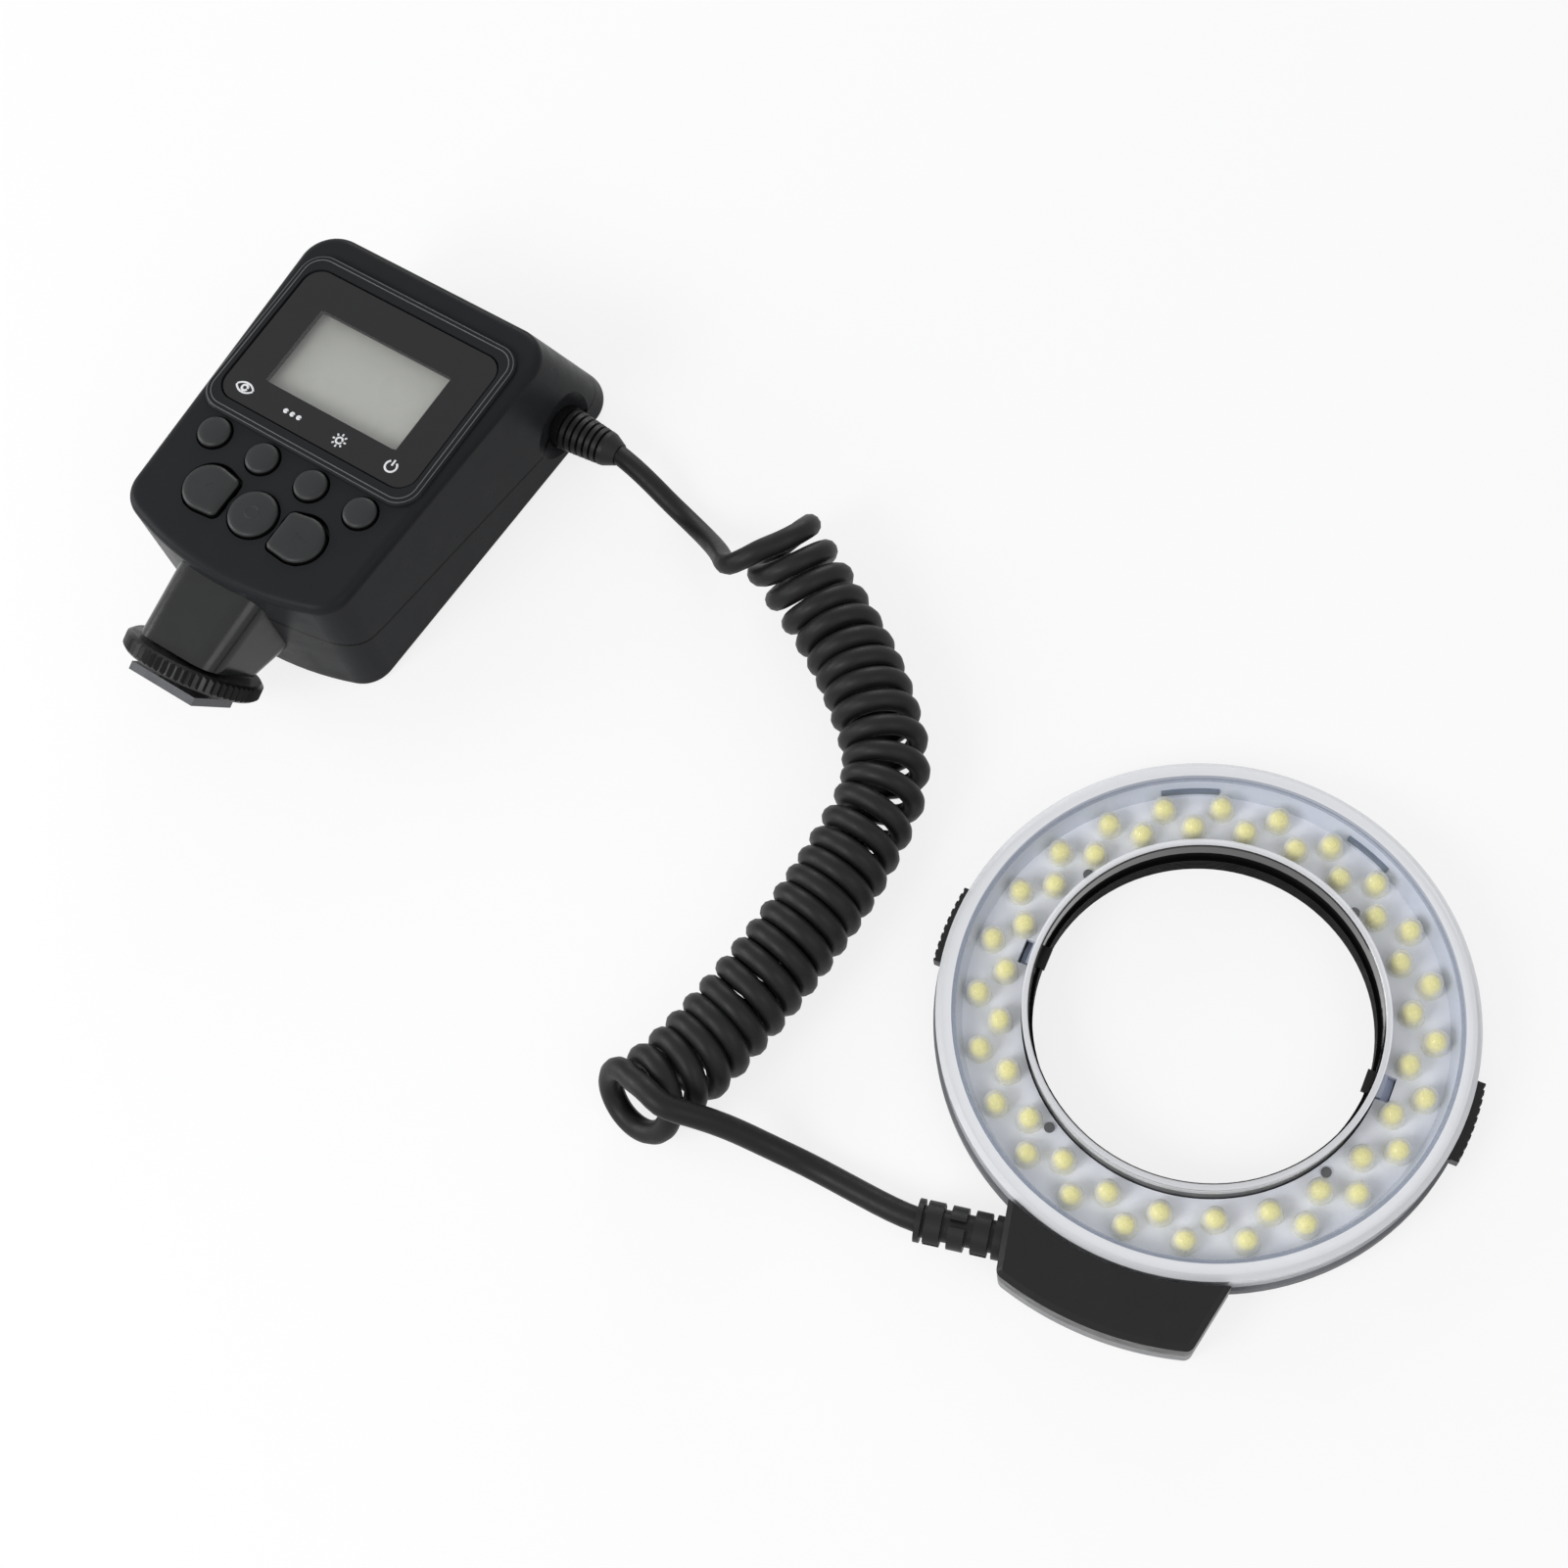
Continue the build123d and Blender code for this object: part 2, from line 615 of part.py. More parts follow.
def latch_window():
    half = radians(LATCH_HALF_ANGLE) * HEAD_R + LATCH_CLEAR
    return box_between(HEAD_R - HEAD_WALL - 1.5, HEAD_R + 3, -half, half, HEAD_FLOOR, HEAD_RIM_Z)


def head_screw_places():
    return [Rot(Z=angle) * Pos(HEAD_R - HEAD_SCREW_IN, 0, 0) for angle in HEAD_SCREW_ANGLES]


def board_screw_angles():
    return [BOARD_SCREW_ANGLE + 90 * i for i in range(4)]


def head_screws():
    screws = []
    for place in head_screw_places():
        screw = Pos(0, 0, SCREW_SINK) * screw_head(HEAD_SCREW_HEAD_R, HEAD_SCREW_HEAD)
        screw = screw + rod(HEAD_SCREW_R, SCREW_SINK + HEAD_SCREW_HEAD, LED_BOARD_Z - 0.2)
        screws.append(place * screw)
    return Compound(children=screws)


def clear_cover():
    top, inner = HEAD_THICK, HEAD_THICK - COVER_THICK
    low = HEAD_RIM_Z + PART_GAP
    lip_low = TUBE_HIGH + PART_GAP
    return turned([
        (COVER_LIP_R, lip_low), (COVER_LIP_R, top - 0.5), (COVER_LIP_R + 0.5, top),
        (COVER_R - COVER_ROUND, top), (COVER_R, top - COVER_ROUND), (COVER_R, low),
        (COVER_R - COVER_WALL, low), (COVER_R - COVER_WALL, inner),
        (COVER_LIP_R + COVER_LIP_WALL, inner), (COVER_LIP_R + COVER_LIP_WALL, lip_low)])


def reflector_ring():
    top = HEAD_THICK - COVER_THICK - 0.2
    low = LED_BOARD_Z + BOARD_THICK
    out = REFLECTOR_OUT
    return turned([(out - REFLECTOR_FOOT, low), (out, low), (out, top), (out - REFLECTOR_WALL, top)])


def led_board():
    body = tube_between(LED_BOARD_OUT, LED_BOARD_IN, LED_BOARD_Z, LED_BOARD_Z + BOARD_THICK)
    reach = TUBE_R + LATCH_CLEAR + LATCH_TAB + LATCH_TRAVEL + LATCH_CLEAR
    half = LATCH_TOOTH_HALF + LATCH_CLEAR
    for angle in (LATCH_ANGLE, LATCH_ANGLE + 180):
        body = body - Rot(Z=angle) * box_between(-reach, -BORE_R, -half, half, 0, HEAD_THICK)
    return body


def board_screws():
    screws = []
    for angle in board_screw_angles():
        z = LED_BOARD_Z + BOARD_THICK
        screw = Pos(0, 0, z) * screw_head(1.1, 0.6)
        screws.append(Rot(Z=angle) * Pos(LED_BOARD_IN + BOARD_SCREW_IN, 0, 0) * screw)
    return Compound(children=screws)


def led_row(radius, first):
    lamps = []
    low = LED_BOARD_Z + BOARD_THICK
    flat = RegularPolygon(LED_R, LED_SIDES)
    for i in range(LED_COUNT):
        side = extrude(flat, LED_HIGH - LED_DOME)
        dome = Pos(0, 0, LED_HIGH - LED_DOME) * extrude(flat, LED_DOME, taper=40)
        lamps.append(Rot(Z=first - 360 * i / LED_COUNT) * Pos(radius, 0, low) * (side + dome))
    return Compound(children=lamps)


def block_flat(inset=0.0):
    inner = BLOCK_HALF_IN - inset
    outer = BLOCK_HALF_OUT - inset
    reach = BLOCK_OUT_R - inset
    near = (HEAD_R ** 2 - BLOCK_HALF_IN ** 2) ** 0.5 - BLOCK_SINK
    far = (reach ** 2 - outer ** 2) ** 0.5
    a, b = (near, inner), (far, outer)
    c, d = (far, -outer), (near, -inner)
    flat = make_face([Line(a, b), ThreePointArc(b, (reach, 0), c), Line(c, d), Line(d, a)])
    flat = fillet(flat.vertices().sort_by(Axis.X)[-2:], BLOCK_CORNER)
    return Rot(Z=BLOCK_ANGLE) * flat


def sleeve_hole():
    return place_sleeve * rod(SLEEVE_R + PART_GAP, -SLEEVE_SINK, SLEEVE_R + 2)


def block_base():
    body = extrude(block_flat(), BLOCK_SPLIT_Z)
    body = chamfer(body.faces().sort_by(Axis.Z)[0].edges(), 0.8)
    body = body - rod(HEAD_R + PART_GAP, -1, BLOCK_HIGH)
    room = extrude(block_flat(BLOCK_WALL), BLOCK_HIGH) - rod(HEAD_R + BLOCK_WALL, -1, BLOCK_HIGH + 1)
    return body - Pos(0, 0, BLOCK_WALL) * room - sleeve_hole()


def block_cover():
    body = Pos(0, 0, BLOCK_SPLIT_Z) * extrude(block_flat(), BLOCK_HIGH - BLOCK_SPLIT_Z)
    body = chamfer(body.faces().sort_by(Axis.Z)[-1].edges(), BLOCK_CHAMFER)
    body = body - rod(HEAD_R + PART_GAP, -1, BLOCK_HIGH + 1)
    high = BLOCK_HIGH - BLOCK_WALL
    room = extrude(block_flat(BLOCK_WALL), high) - rod(HEAD_R + BLOCK_WALL, -1, high + 1)
    return body - room - sleeve_hole()


def latch(layer):
    z = LATCH_Z[layer]
    shift = LATCH_TRAVEL + (LATCH_CLEAR + LATCH_TAB) / 2
    inner = TUBE_R + LATCH_CLEAR + shift
    body = Pos(shift, 0, 0) * tube_between(inner + LATCH_RING_WIDTH, inner, z, z + LATCH_THICK)
    back = -TUBE_R - LATCH_CLEAR
    top = LATCH_TOOTH_Z + LATCH_TOOTH_THICK
    half = LATCH_TOOTH_HALF
    body = body + box_between(back - LATCH_TAB, back, -half, half, z, top)
    body = body + box_between(back - LATCH_TAB, LATCH_TOOTH - BORE_R, -half, half, LATCH_TOOTH_Z, top)
    bar = box_between(inner + shift, HEAD_R - 2, -LATCH_BAR_HALF, LATCH_BAR_HALF, z, z + LATCH_THICK)
    return body + bar + latch_button()


def latch_button():
    half = radians(LATCH_HALF_ANGLE) * HEAD_R
    arc = tube_between(LATCH_BUTTON_R, HEAD_R - HEAD_WALL - 0.6, HEAD_FLOOR + 0.15, HEAD_RIM_Z - 0.15)
    body = arc & box_between(0, LATCH_BUTTON_R + 1, -half, half, 0, HEAD_THICK)
    for i in range(9):
        angle = (i - 4) * 2.0 * (LATCH_HALF_ANGLE - 1.2) / 8
        notch = Pos(LATCH_BUTTON_R + 0.25, 0, 0) * Box(1.1, 0.9, 2 * HEAD_THICK)
        body = body - Rot(Z=angle) * notch
    return body


# Cord. The coil's middle line is a chain of arcs; the curls wind round it.

CURL_R = 7.6
CURL_GAP = 0.5
COIL_START = (2.47, 51.56)
COIL_HEADING = -58.0
COIL_FIRST_TURN = 75.0
COIL_FIRST_LEAN = 50.0
COIL_FIRST_R = 8.2
COIL_SLOPE = 0.45
STEPS_PER_CURL = 24
CORD_SIDES = 6
COIL_STRETCHES = (
    # curls, turn to the left, lean of the last curl, its radius
    (4.0, -7.0, 0.0, CURL_R),
    (3.0, 0.0, 0.0, CURL_R),
    (5.5, -56.0, 0.0, CURL_R),
    (9.5, -3.0, 0.0, CURL_R),
    (3.0, -20.0, 0.0, CURL_R),
    (2.0, 5.0, -27.0, 8.2),
)


def curl_points():
    """Points of the curls. The coil's middle line turns on the table, and its end curls lean back."""
    x, y, z = *COIL_START, 0.0
    heading, lean = radians(COIL_HEADING), radians(COIL_FIRST_LEAN)
    wound, r = radians(COIL_FIRST_TURN), COIL_FIRST_R
    points = []
    for curls, turn, lean_end, r_end in COIL_STRETCHES:
        steps = round(curls * STEPS_PER_CURL)
        turn_step, lean_step = radians(turn) / steps, (radians(lean_end) - lean) / steps
        pinch = CURL_R * (abs(turn_step) + abs(lean_step))
        r_step = (r_end - r) / steps
        for i in range(steps + 1):
            if i or not points:
                left = Vector(-sin(heading), cos(heading), 0)
                up = Vector(sin(lean) * cos(heading), sin(lean) * sin(heading), cos(lean))
                points.append(Vector(x, y, z) - left * (r * cos(wound)) + up * (r * sin(wound)))
            if i < steps:
                heading += turn_step / 2
                slope = lean * COIL_SLOPE
                step = ((CORD_D + CURL_GAP) / STEPS_PER_CURL + pinch) / cos(lean - slope)
                x += step * cos(slope) * cos(heading)
                y += step * cos(slope) * sin(heading)
                z -= step * sin(slope)
                heading += turn_step / 2
                lean, r, wound = lean + lean_step, r + r_step, wound + 2 * pi / STEPS_PER_CURL
    lift = CORD_D / 2 - min(point.Z for point in points)
    return [point + Vector(0, 0, lift) for point in points]


def directions(points):
    found = []
    for i in range(len(points)):
        before, after = points[max(i - 1, 0)], points[min(i + 1, len(points) - 1)]
        found.append((after - before).normalized())
    return found


def biarc(start, start_way, end, end_way):
    chord = end - start
    both = start_way + end_way
    bend = 2 * (1 - start_way.dot(end_way))
    along = chord.dot(both)
    reach = (-along + (along ** 2 + bend * chord.dot(chord)) ** 0.5) / bend
    join = (start + end + (start_way - end_way) * reach) / 2
    return [
        arc_between(start, start + start_way * reach, join),
        arc_between(join, end - end_way * reach, end)]


def arc_between(start, corner, end):
    middle = (start + end) / 2
    half = radians((corner - start).get_angle(end - corner)) / 2
    reach = (corner - start).length
    rise = reach / tan(half) * (1 / cos(half) - 1)
    return ThreePointArc(start, corner + (middle - corner).normalized() * rise, end)


def curl_path():
    points = curl_points()
    ways = directions(points)
    quarter = STEPS_PER_CURL // 4
    picks = list(range(0, len(points) - 1, quarter * 2))
    if picks[-1] != len(points) - 1:
        picks.append(len(points) - 1)
    edges = [Line(points[0] - ways[0] * CORD_D, points[0])]
    for a, b in zip(picks, picks[1:]):
        edges += biarc(points[a], ways[a], points[b], ways[b])
    edges.append(Line(points[-1], points[-1] + ways[-1] * CORD_D))
    return edges, points, ways


def least_gap(points):
    gap = 1e9
    for i in range(len(points)):
        for j in range(i + STEPS_PER_CURL // 2, min(len(points), i + 3 * STEPS_PER_CURL)):
            gap = min(gap, (points[i] - points[j]).length)
    return gap - CORD_D


def swept(edges, section):
    path = Wire(edges)
    plane = Plane(origin=path @ 0, z_dir=path % 0)
    return sweep(plane * section, path=path, clean=False)


def cord_curls():
    edges, points, _ = curl_path()
    print("least gap between curls", round(least_gap(points), 3))
    section = RegularPolygon(CORD_D / 2, CORD_SIDES)
    body = swept(edges, section)
    print_volume("curls", body, section.area * Wire(edges).length)
    return body


def print_volume(name, body, by_length):
    print(name, "volume", round(body.volume, 1), "section x length", round(by_length, 1))


def lead(name, points):
    runs = [(b - a).length for a, b in zip(points, points[1:])]
    radii = []
    for i in range(1, len(points) - 1):
        turn = (points[i] - points[i - 1]).get_angle(points[i + 1] - points[i])
        radii.append(0.45 * min(runs[i - 1], runs[i]) / tan(radians(turn) / 2))
    path = FilletPolyline(*points, radius=radii)
    print(name, "radii", [round(r, 1) for r in radii], "length", round(path.length, 1))
    plane = Plane(origin=path @ 0, z_dir=path % 0)
    body = sweep(plane * Circle(CORD_D / 2), path=path)
    print_volume(name, body, pi * CORD_D ** 2 / 4 * path.length)
    return body


def smooth_route(start, start_way, end, end_way, steps, pull):
    """Points of a smooth curve that leaves and arrives in the given directions."""
    reach = (end - start).length * pull
    a, b = start + start_way * reach, end - end_way * reach
    points = []
    for i in range(steps + 1):
        t = i / steps
        u = 1 - t
        points.append(start * u ** 3 + a * (3 * u * u * t) + b * (3 * u * t * t) + end * t ** 3)
    return points


def controller_lead():
    _, points, ways = curl_path()
    out = Vector(cos(radians(CONTROLLER_TURN)), sin(radians(CONTROLLER_TURN)), 0)
    start = (place_box * Pos(RELIEF_END_X, RELIEF_Y, RELIEF_Z)).position
    end = points[0] - ways[0] * CORD_D
    rest = Vector(-20.9, 62.8, CORD_D / 2 + 0.2)
    along = Vector(1, -0.95, 0).normalized()
    first = smooth_route(start + out * 4, out, rest, along, 3, 0.36)
    second = smooth_route(rest, along, end - ways[0] * 3, ways[0], 4, 0.34)
    return lead("controller lead", [start, *first, *second[1:], end])


def ring_lead():
    _, points, ways = curl_path()
    into = Vector(-cos(radians(SLEEVE_TURN)), -sin(radians(SLEEVE_TURN)), 0)
    end = (place_ring * place_sleeve * Pos(0, 0, SLEEVE_LENGTH - SLEEVE_SINK)).position
    start = points[-1] + ways[-1] * CORD_D
    rest = Vector(7.7, -94.8, CORD_D / 2 + 0.2)
    along = Vector(1, -0.55, 0).normalized()
    first = smooth_route(start + ways[-1] * 3, ways[-1], rest, along, 4, 0.3)
    second = smooth_route(rest, along, end - into * 4, into, 2, 0.36)
    return lead("ring lead", [start, *first, *second[1:], end])


def build_all():
    case = whole_case()
    seam = below_seam()
    nodes = {
        "front_shell": place_box * front_shell(case, seam),
        "rear_shell": place_box * rear_shell(case, seam),
        "battery_door": place_box * battery_door(case),
        "battery_cells": place_box * battery_cells(),
        "battery_contacts": place_box * battery_contacts(),
        "case_screws": place_box * case_screws(),
        "display_window": place_box * display_window(),
        "lcd_module": place_box * lcd_module(),
        "control_board": place_box * control_board(),
        "button_mat": place_box * button_mat(),
        "shoe_stem": place_box * shoe_stem(case),
        "controller_strain_relief": place_box * controller_relief(),
        "shoe_foot": place_shoe * shoe_foot(),
        "foot_insulator": place_shoe * foot_insulator(),
        "contact_pin": place_shoe * contact_pin(),
        "lock_ring": place_shoe * lock_ring(),
        "clamp_plate": place_shoe * clamp_plate(),
        "head_housing": place_ring * head_housing(),
        "clear_cover": place_ring * clear_cover(),
        "reflector_ring": place_ring * reflector_ring(),
        "led_board": place_ring * led_board(),
        "leds_outer": place_ring * led_row(LED_OUTER_R, LED_OUTER_ANGLE),
        "leds_inner": place_ring * led_row(LED_INNER_R, LED_INNER_ANGLE),
        "board_screws": place_ring * board_screws(),
        "head_screws": place_ring * head_screws(),
        "cable_block_base": place_ring * block_base(),
        "cable_block_cover": place_ring * block_cover(),
        "latch_right": place_ring * Rot(Z=LATCH_ANGLE) * latch(0),
        "latch_left": place_ring * Rot(Z=LATCH_ANGLE + 180) * latch(1),
        "ring_strain_relief": place_ring * ring_relief(),
        "cord_lead_controller": controller_lead(),
        "cord_curls": cord_curls(),
        "cord_lead_ring": ring_lead(),
    }
    for name, flat in key_flats().items():
        nodes[name] = place_box * key(flat)
    return nodes


os.makedirs("parts", exist_ok=True)
for name, body in build_all().items():
    export_step(body, f"parts/{name}.step")
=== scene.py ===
# A macro ring light: a control box with a shoe mount, a curly cord and a round LED lamp head.
# Sizes are in millimetres: in the frame of the control box or of the lamp head, and for the cord in
# the part's frame. add_piece() and nurbs() turn them into metres in the part's frame.
from math import cos, pi, radians, sin

import bpy
from mathutils import Matrix, Vector


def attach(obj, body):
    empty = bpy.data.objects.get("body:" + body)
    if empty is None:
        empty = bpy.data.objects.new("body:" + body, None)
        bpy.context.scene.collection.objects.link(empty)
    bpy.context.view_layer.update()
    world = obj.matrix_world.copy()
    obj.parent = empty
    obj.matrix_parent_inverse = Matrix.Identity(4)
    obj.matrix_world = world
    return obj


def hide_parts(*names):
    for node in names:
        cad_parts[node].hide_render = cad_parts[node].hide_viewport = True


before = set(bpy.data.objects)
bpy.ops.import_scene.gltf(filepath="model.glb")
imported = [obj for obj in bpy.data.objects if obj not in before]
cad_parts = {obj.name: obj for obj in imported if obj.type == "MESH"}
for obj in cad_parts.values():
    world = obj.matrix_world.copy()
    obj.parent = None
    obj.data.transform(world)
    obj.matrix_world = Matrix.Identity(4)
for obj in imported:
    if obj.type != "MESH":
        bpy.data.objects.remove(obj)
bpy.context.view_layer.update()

MM = 0.001


def shift(x, y, z):
    return Matrix.Translation((x * MM, y * MM, z * MM))


BOX = shift(-93.33, 82.96, 0) @ Matrix.Rotation(radians(-33), 4, "Z")
HEAD = shift(90.87, -65.74, 0)

# Control box: the joint between its shells, and the place of its key holes, whose walls are painted
# near black as painted shade. The joint's height is JOINT_Z at y 0 and follows JOINT_SLOPE. Below
# JOINT_BEND_Y it curls up, by JOINT_BEND times the cube of the distance in metres.
JOINT_Z = 12.0
JOINT_SLOPE = -0.13
JOINT_BEND_Y = -39.0
JOINT_BEND = 1600.0
JOINT_HALF = 0.4
HOLE_SHADE_Z = (32.0, 38.9)
HOLE_SHADE_X = 26.5
HOLE_SHADE_Y = -49.0
SLOT_AT = (-22.1, -54.2, 27.5)
SLOT_WAY = (-0.27, -0.96, 0)

# Its display
PANEL_HALF = 28.2
PANEL_LOW = -19.1
PANEL_HIGH = 20.4
PANEL_R = 4.85
PANEL_EDGE = 0.3
PANEL_Z = (38.9, 40.4)
WINDOW_X = (-19.0, 19.2)
WINDOW_Y = (-10.9, 11.0)
SCREEN_Z = (34.2, 36.9)
FRAME_HALF = 31.0
FRAME_LOW = -22.8
FRAME_HIGH = 24.2
FRAME_R = 6.0
SIGN_Z = 40.43

# Its keys
KEY_LOW = 36.5
KEY_HIGH = 40.74
KEY_R = 4.05
KEY_PITCH = 14.25
KEY_Y = -27.7
SET_KEY_R = 5.95
SET_KEY_Y = -40.3
ARROW_KEY = (13.0, -40.0)
KEY_SHADE_DEPTH = 0.8  # a cap is painted with shade from this far below its top

# Lamp head
BORE_R = 37.5
BORE_RIDGE = 0.8
# The cover is painted near black inside COVER_WALL_R, and blue-grey between the COVER_STEP radii:
# painted shade.
COVER_WALL_R = 36.9
COVER_RIM_R = 38.2
COVER_STEP = (52.1, 53.0)
COVER_FROST = (0.5, 0.7)  # least alpha of the step and of the rims
LATCH_PAD = (38.2, 50.0)
BOARD_Z = 6.2
LED_R = 2.5
LED_BODY = 2.9
LED_CORE = ((2.0, 0.1), (2.1, 2.0), (1.9, 2.9), (1.2, 3.7))  # radius, height over the board
LED_COUNT = 24
LED_ROWS = (("leds_outer", 47.7, 96.5), ("leds_inner", 42.9, 89.1))  # radius, angle of the first
SNAP_TABS = ((82.4, 96.4), (37.5, 49.5))  # angles from and to
TAB_SECTION = ((51.2, 6.3), (52.0, 6.3), (52.0, 8.4), (51.2, 8.4))  # radius, z

# Cord
CORD_D = 5.0
EXIT = (-37.75, 78.58, 8.0)
CURLS = 27
PER_CURL = 24  # points in one curl
CURL_R = 7.6
FIRST_TURN = 75
LEADS_SCALE = (0.99, 1.06)  # thickness of the lead in and of the lead out
CURL_SCALE = 1.05
BEND_CURL = 10
BEND_SCALE = 0.1  # taken off the thickness there, fading over 4 curls

# Camera, light and floor, in metres
CAMERA_AT = (0.05232, -0.21231, 0.49055)
CAMERA_TURN = (0.3974, 0.1041)
LENS = 54.01
LAMPS = (
    # name, place, diameter, power
    ("key", (-0.52, -0.42, 0.60), 0.42, 3.4),
    ("left", (-0.74, 0.10, 0.22), 0.45, 2.6),
    ("back", (0.05, 0.75, 0.26), 0.45, 1.8),
    ("fill", (0.46, -0.40, 0.60), 0.5, 1.1),
)
ROOM_LIGHT = 0.40
FLOOR_Z = -0.0002
FLOOR_HALF = 12.0
FLOOR_GLOW = (0.8, 1.0)  # share of plain white under the object and far from it
FLOOR_FADE = (0.3, 1.2)  # distances between which it changes


# Camera, light and floor

def add_camera():
    camera = bpy.data.objects.new("camera", bpy.data.cameras.new("camera"))
    bpy.context.scene.collection.objects.link(camera)
    turn = Matrix.Rotation(CAMERA_TURN[1], 4, "Y") @ Matrix.Rotation(CAMERA_TURN[0], 4, "X")
    camera.matrix_world = Matrix.Translation(CAMERA_AT) @ turn
    camera.data.lens = LENS
    camera.data.sensor_width = 36.0
    camera.data.clip_start = 0.01
    bpy.context.scene.camera = camera


def add_light(name, place, size, power):
    data = bpy.data.lights.new(name, "AREA")
    data.shape = "DISK"
    data.size = size
    data.energy = power
    light = bpy.data.objects.new(name, data)
    bpy.context.scene.collection.objects.link(light)
    light.location = place
    light.rotation_euler = Vector(place).to_track_quat("Z", "Y").to_euler()


def calc(tree, operation, a, b=0.0):
    """One sum of a node tree; a and b are numbers or sockets."""
    node = tree.nodes.new("ShaderNodeMath")
    node.operation = operation
    for socket, value in zip(node.inputs, (a, b)):
        if isinstance(value, (int, float)):
            socket.default_value = value
        else:
            tree.links.new(value, socket)
    return node.outputs[0]


def map_range(tree, value, before, after):
    """The value, with the range before stretched to the range after."""
    scale = tree.nodes.new("ShaderNodeMapRange")
    for end, number in zip(("From Min", "From Max", "To Min", "To Max"), (*before, *after)):
        scale.inputs[end].default_value = number
    tree.links.new(value, scale.inputs["Value"])
    return scale


def seen_directly(tree):
    """1 where the camera, a mirror or a clear part looks, 0 for the light on the object."""
    path = tree.nodes.new("ShaderNodeLightPath")
    total = path.outputs["Is Camera Ray"]
    for ray in ("Is Glossy Ray", "Is Transmission Ray"):
        total = calc(tree, "MAXIMUM", total, path.outputs[ray])
    return total


def add_world(strength):
    world = bpy.data.worlds.new("studio")
    bpy.context.scene.world = world
    world.use_nodes = True
    tree = world.node_tree
    white = tree.nodes["Background"]
    white.inputs["Color"].default_value = (1, 1, 1, 1)
    white.inputs["Strength"].default_value = 1.0
    room = tree.nodes.new("ShaderNodeBackground")
    room.inputs["Color"].default_value = (0.97, 0.98, 1.0, 1)
    room.inputs["Strength"].default_value = strength
    mix = tree.nodes.new("ShaderNodeMixShader")
    tree.links.new(seen_directly(tree), mix.inputs[0])
    tree.links.new(room.outputs[0], mix.inputs[1])
    tree.links.new(white.outputs[0], mix.inputs[2])
    tree.links.new(mix.outputs[0], tree.nodes["World Output"].inputs["Surface"])


def add_floor():
    mat = bpy.data.materials.new("pale_floor")
    mat.use_nodes = True
    tree = mat.node_tree
    paper = tree.nodes["Principled BSDF"]
    paper.inputs["Base Color"].default_value = (0.9, 0.9, 0.9, 1)
    paper.inputs["Roughness"].default_value = 0.9
    glow = tree.nodes.new("ShaderNodeEmission")
    glow.inputs["Strength"].default_value = 1.0
    place = tree.nodes.new("ShaderNodeTexCoord")
    away = tree.nodes.new("ShaderNodeVectorMath")
    away.operation = "LENGTH"
    tree.links.new(place.outputs["Object"], away.inputs[0])
    fade = map_range(tree, away.outputs["Value"], FLOOR_FADE, FLOOR_GLOW)
    fade.interpolation_type = "SMOOTHSTEP"
    share = calc(tree, "MULTIPLY", seen_directly(tree), fade.outputs["Result"])
    mix = tree.nodes.new("ShaderNodeMixShader")
    tree.links.new(share, mix.inputs[0])
    tree.links.new(paper.outputs[0], mix.inputs[1])
    tree.links.new(glow.outputs[0], mix.inputs[2])
    tree.links.new(mix.outputs[0], tree.nodes["Material Output"].inputs["Surface"])
    mesh = bpy.data.meshes.new("floor")
    far = FLOOR_HALF
    corners = ((-far, -far), (far, -far), (far, far), (-far, far))
    mesh.from_pydata([(x, y, FLOOR_Z) for x, y in corners], [], [(0, 1, 2, 3)])
    mesh.materials.append(mat)
    floor = bpy.data.objects.new("floor", mesh)
    bpy.context.scene.collection.objects.link(floor)


# Materials

def srgb(code):
    """Linear red, green and blue of a colour written as #rrggbb."""
    values = [int(code[i:i + 2], 16) / 255 for i in (1, 3, 5)]
    return [v / 12.92 if v <= 0.04045 else ((v + 0.055) / 1.055) ** 2.4 for v in values]


def noise(tree, size, detail=3.0):
    """Noise whose spots are about the given size in millimetres."""
    place = tree.nodes.new("ShaderNodeTexCoord")
    texture = tree.nodes.new("ShaderNodeTexNoise")
    texture.inputs["Scale"].default_value = 1000 / size
    texture.inputs["Detail"].default_value = detail
    tree.links.new(place.outputs["Object"], texture.inputs["Vector"])
    return texture.outputs["Fac"]


def ranged(tree, value, low, high):
    """Noise lies mostly between 0.3 and 0.7; here it runs from low to high."""
    return map_range(tree, value, (0.3, 0.7), (low, high)).outputs["Result"]


def blended(tree, fac, low, high):
    """A colour between low and high."""
    mix = tree.nodes.new("ShaderNodeMix")
    mix.data_type = "RGBA"
    mix.inputs[6].default_value = (*low, 1)
    mix.inputs[7].default_value = (*high, 1)
    tree.links.new(fac, mix.inputs[0])
    return mix.outputs[2]


def finish(name, colour, rough, patch=14.0, vary=0.10, grain=0.35, bump=0.15, metallic=0.0,
           shine=0.3):
    """A surface whose colour and shine change slowly over it, with a fine moulded grain.

    patch and grain are the sizes of the spots and of the grain in millimetres.
    """
    mat = bpy.data.materials.new(name)
    mat.use_nodes = True
    tree = mat.node_tree
    shader = tree.nodes["Principled BSDF"]
    shader.inputs["Metallic"].default_value = metallic
    shader.inputs["Specular IOR Level"].default_value = shine
    base = srgb(colour)
    slow = noise(tree, patch)
    low, high = [c * (1 - vary) for c in base], [min(1.0, c * (1 + vary)) for c in base]
    tree.links.new(blended(tree, slow, low, high), shader.inputs["Base Color"])
    uneven = ranged(tree, noise(tree, patch / 4), rough - 0.05, rough + 0.06)
    tree.links.new(uneven, shader.inputs["Roughness"])
    relief = tree.nodes.new("ShaderNodeBump")
    relief.inputs["Strength"].default_value = bump
    relief.inputs["Distance"].default_value = grain * 0.3 * MM
    tree.links.new(noise(tree, grain, 2.0), relief.inputs["Height"])
    tree.links.new(relief.outputs["Normal"], shader.inputs["Normal"])
    return mat


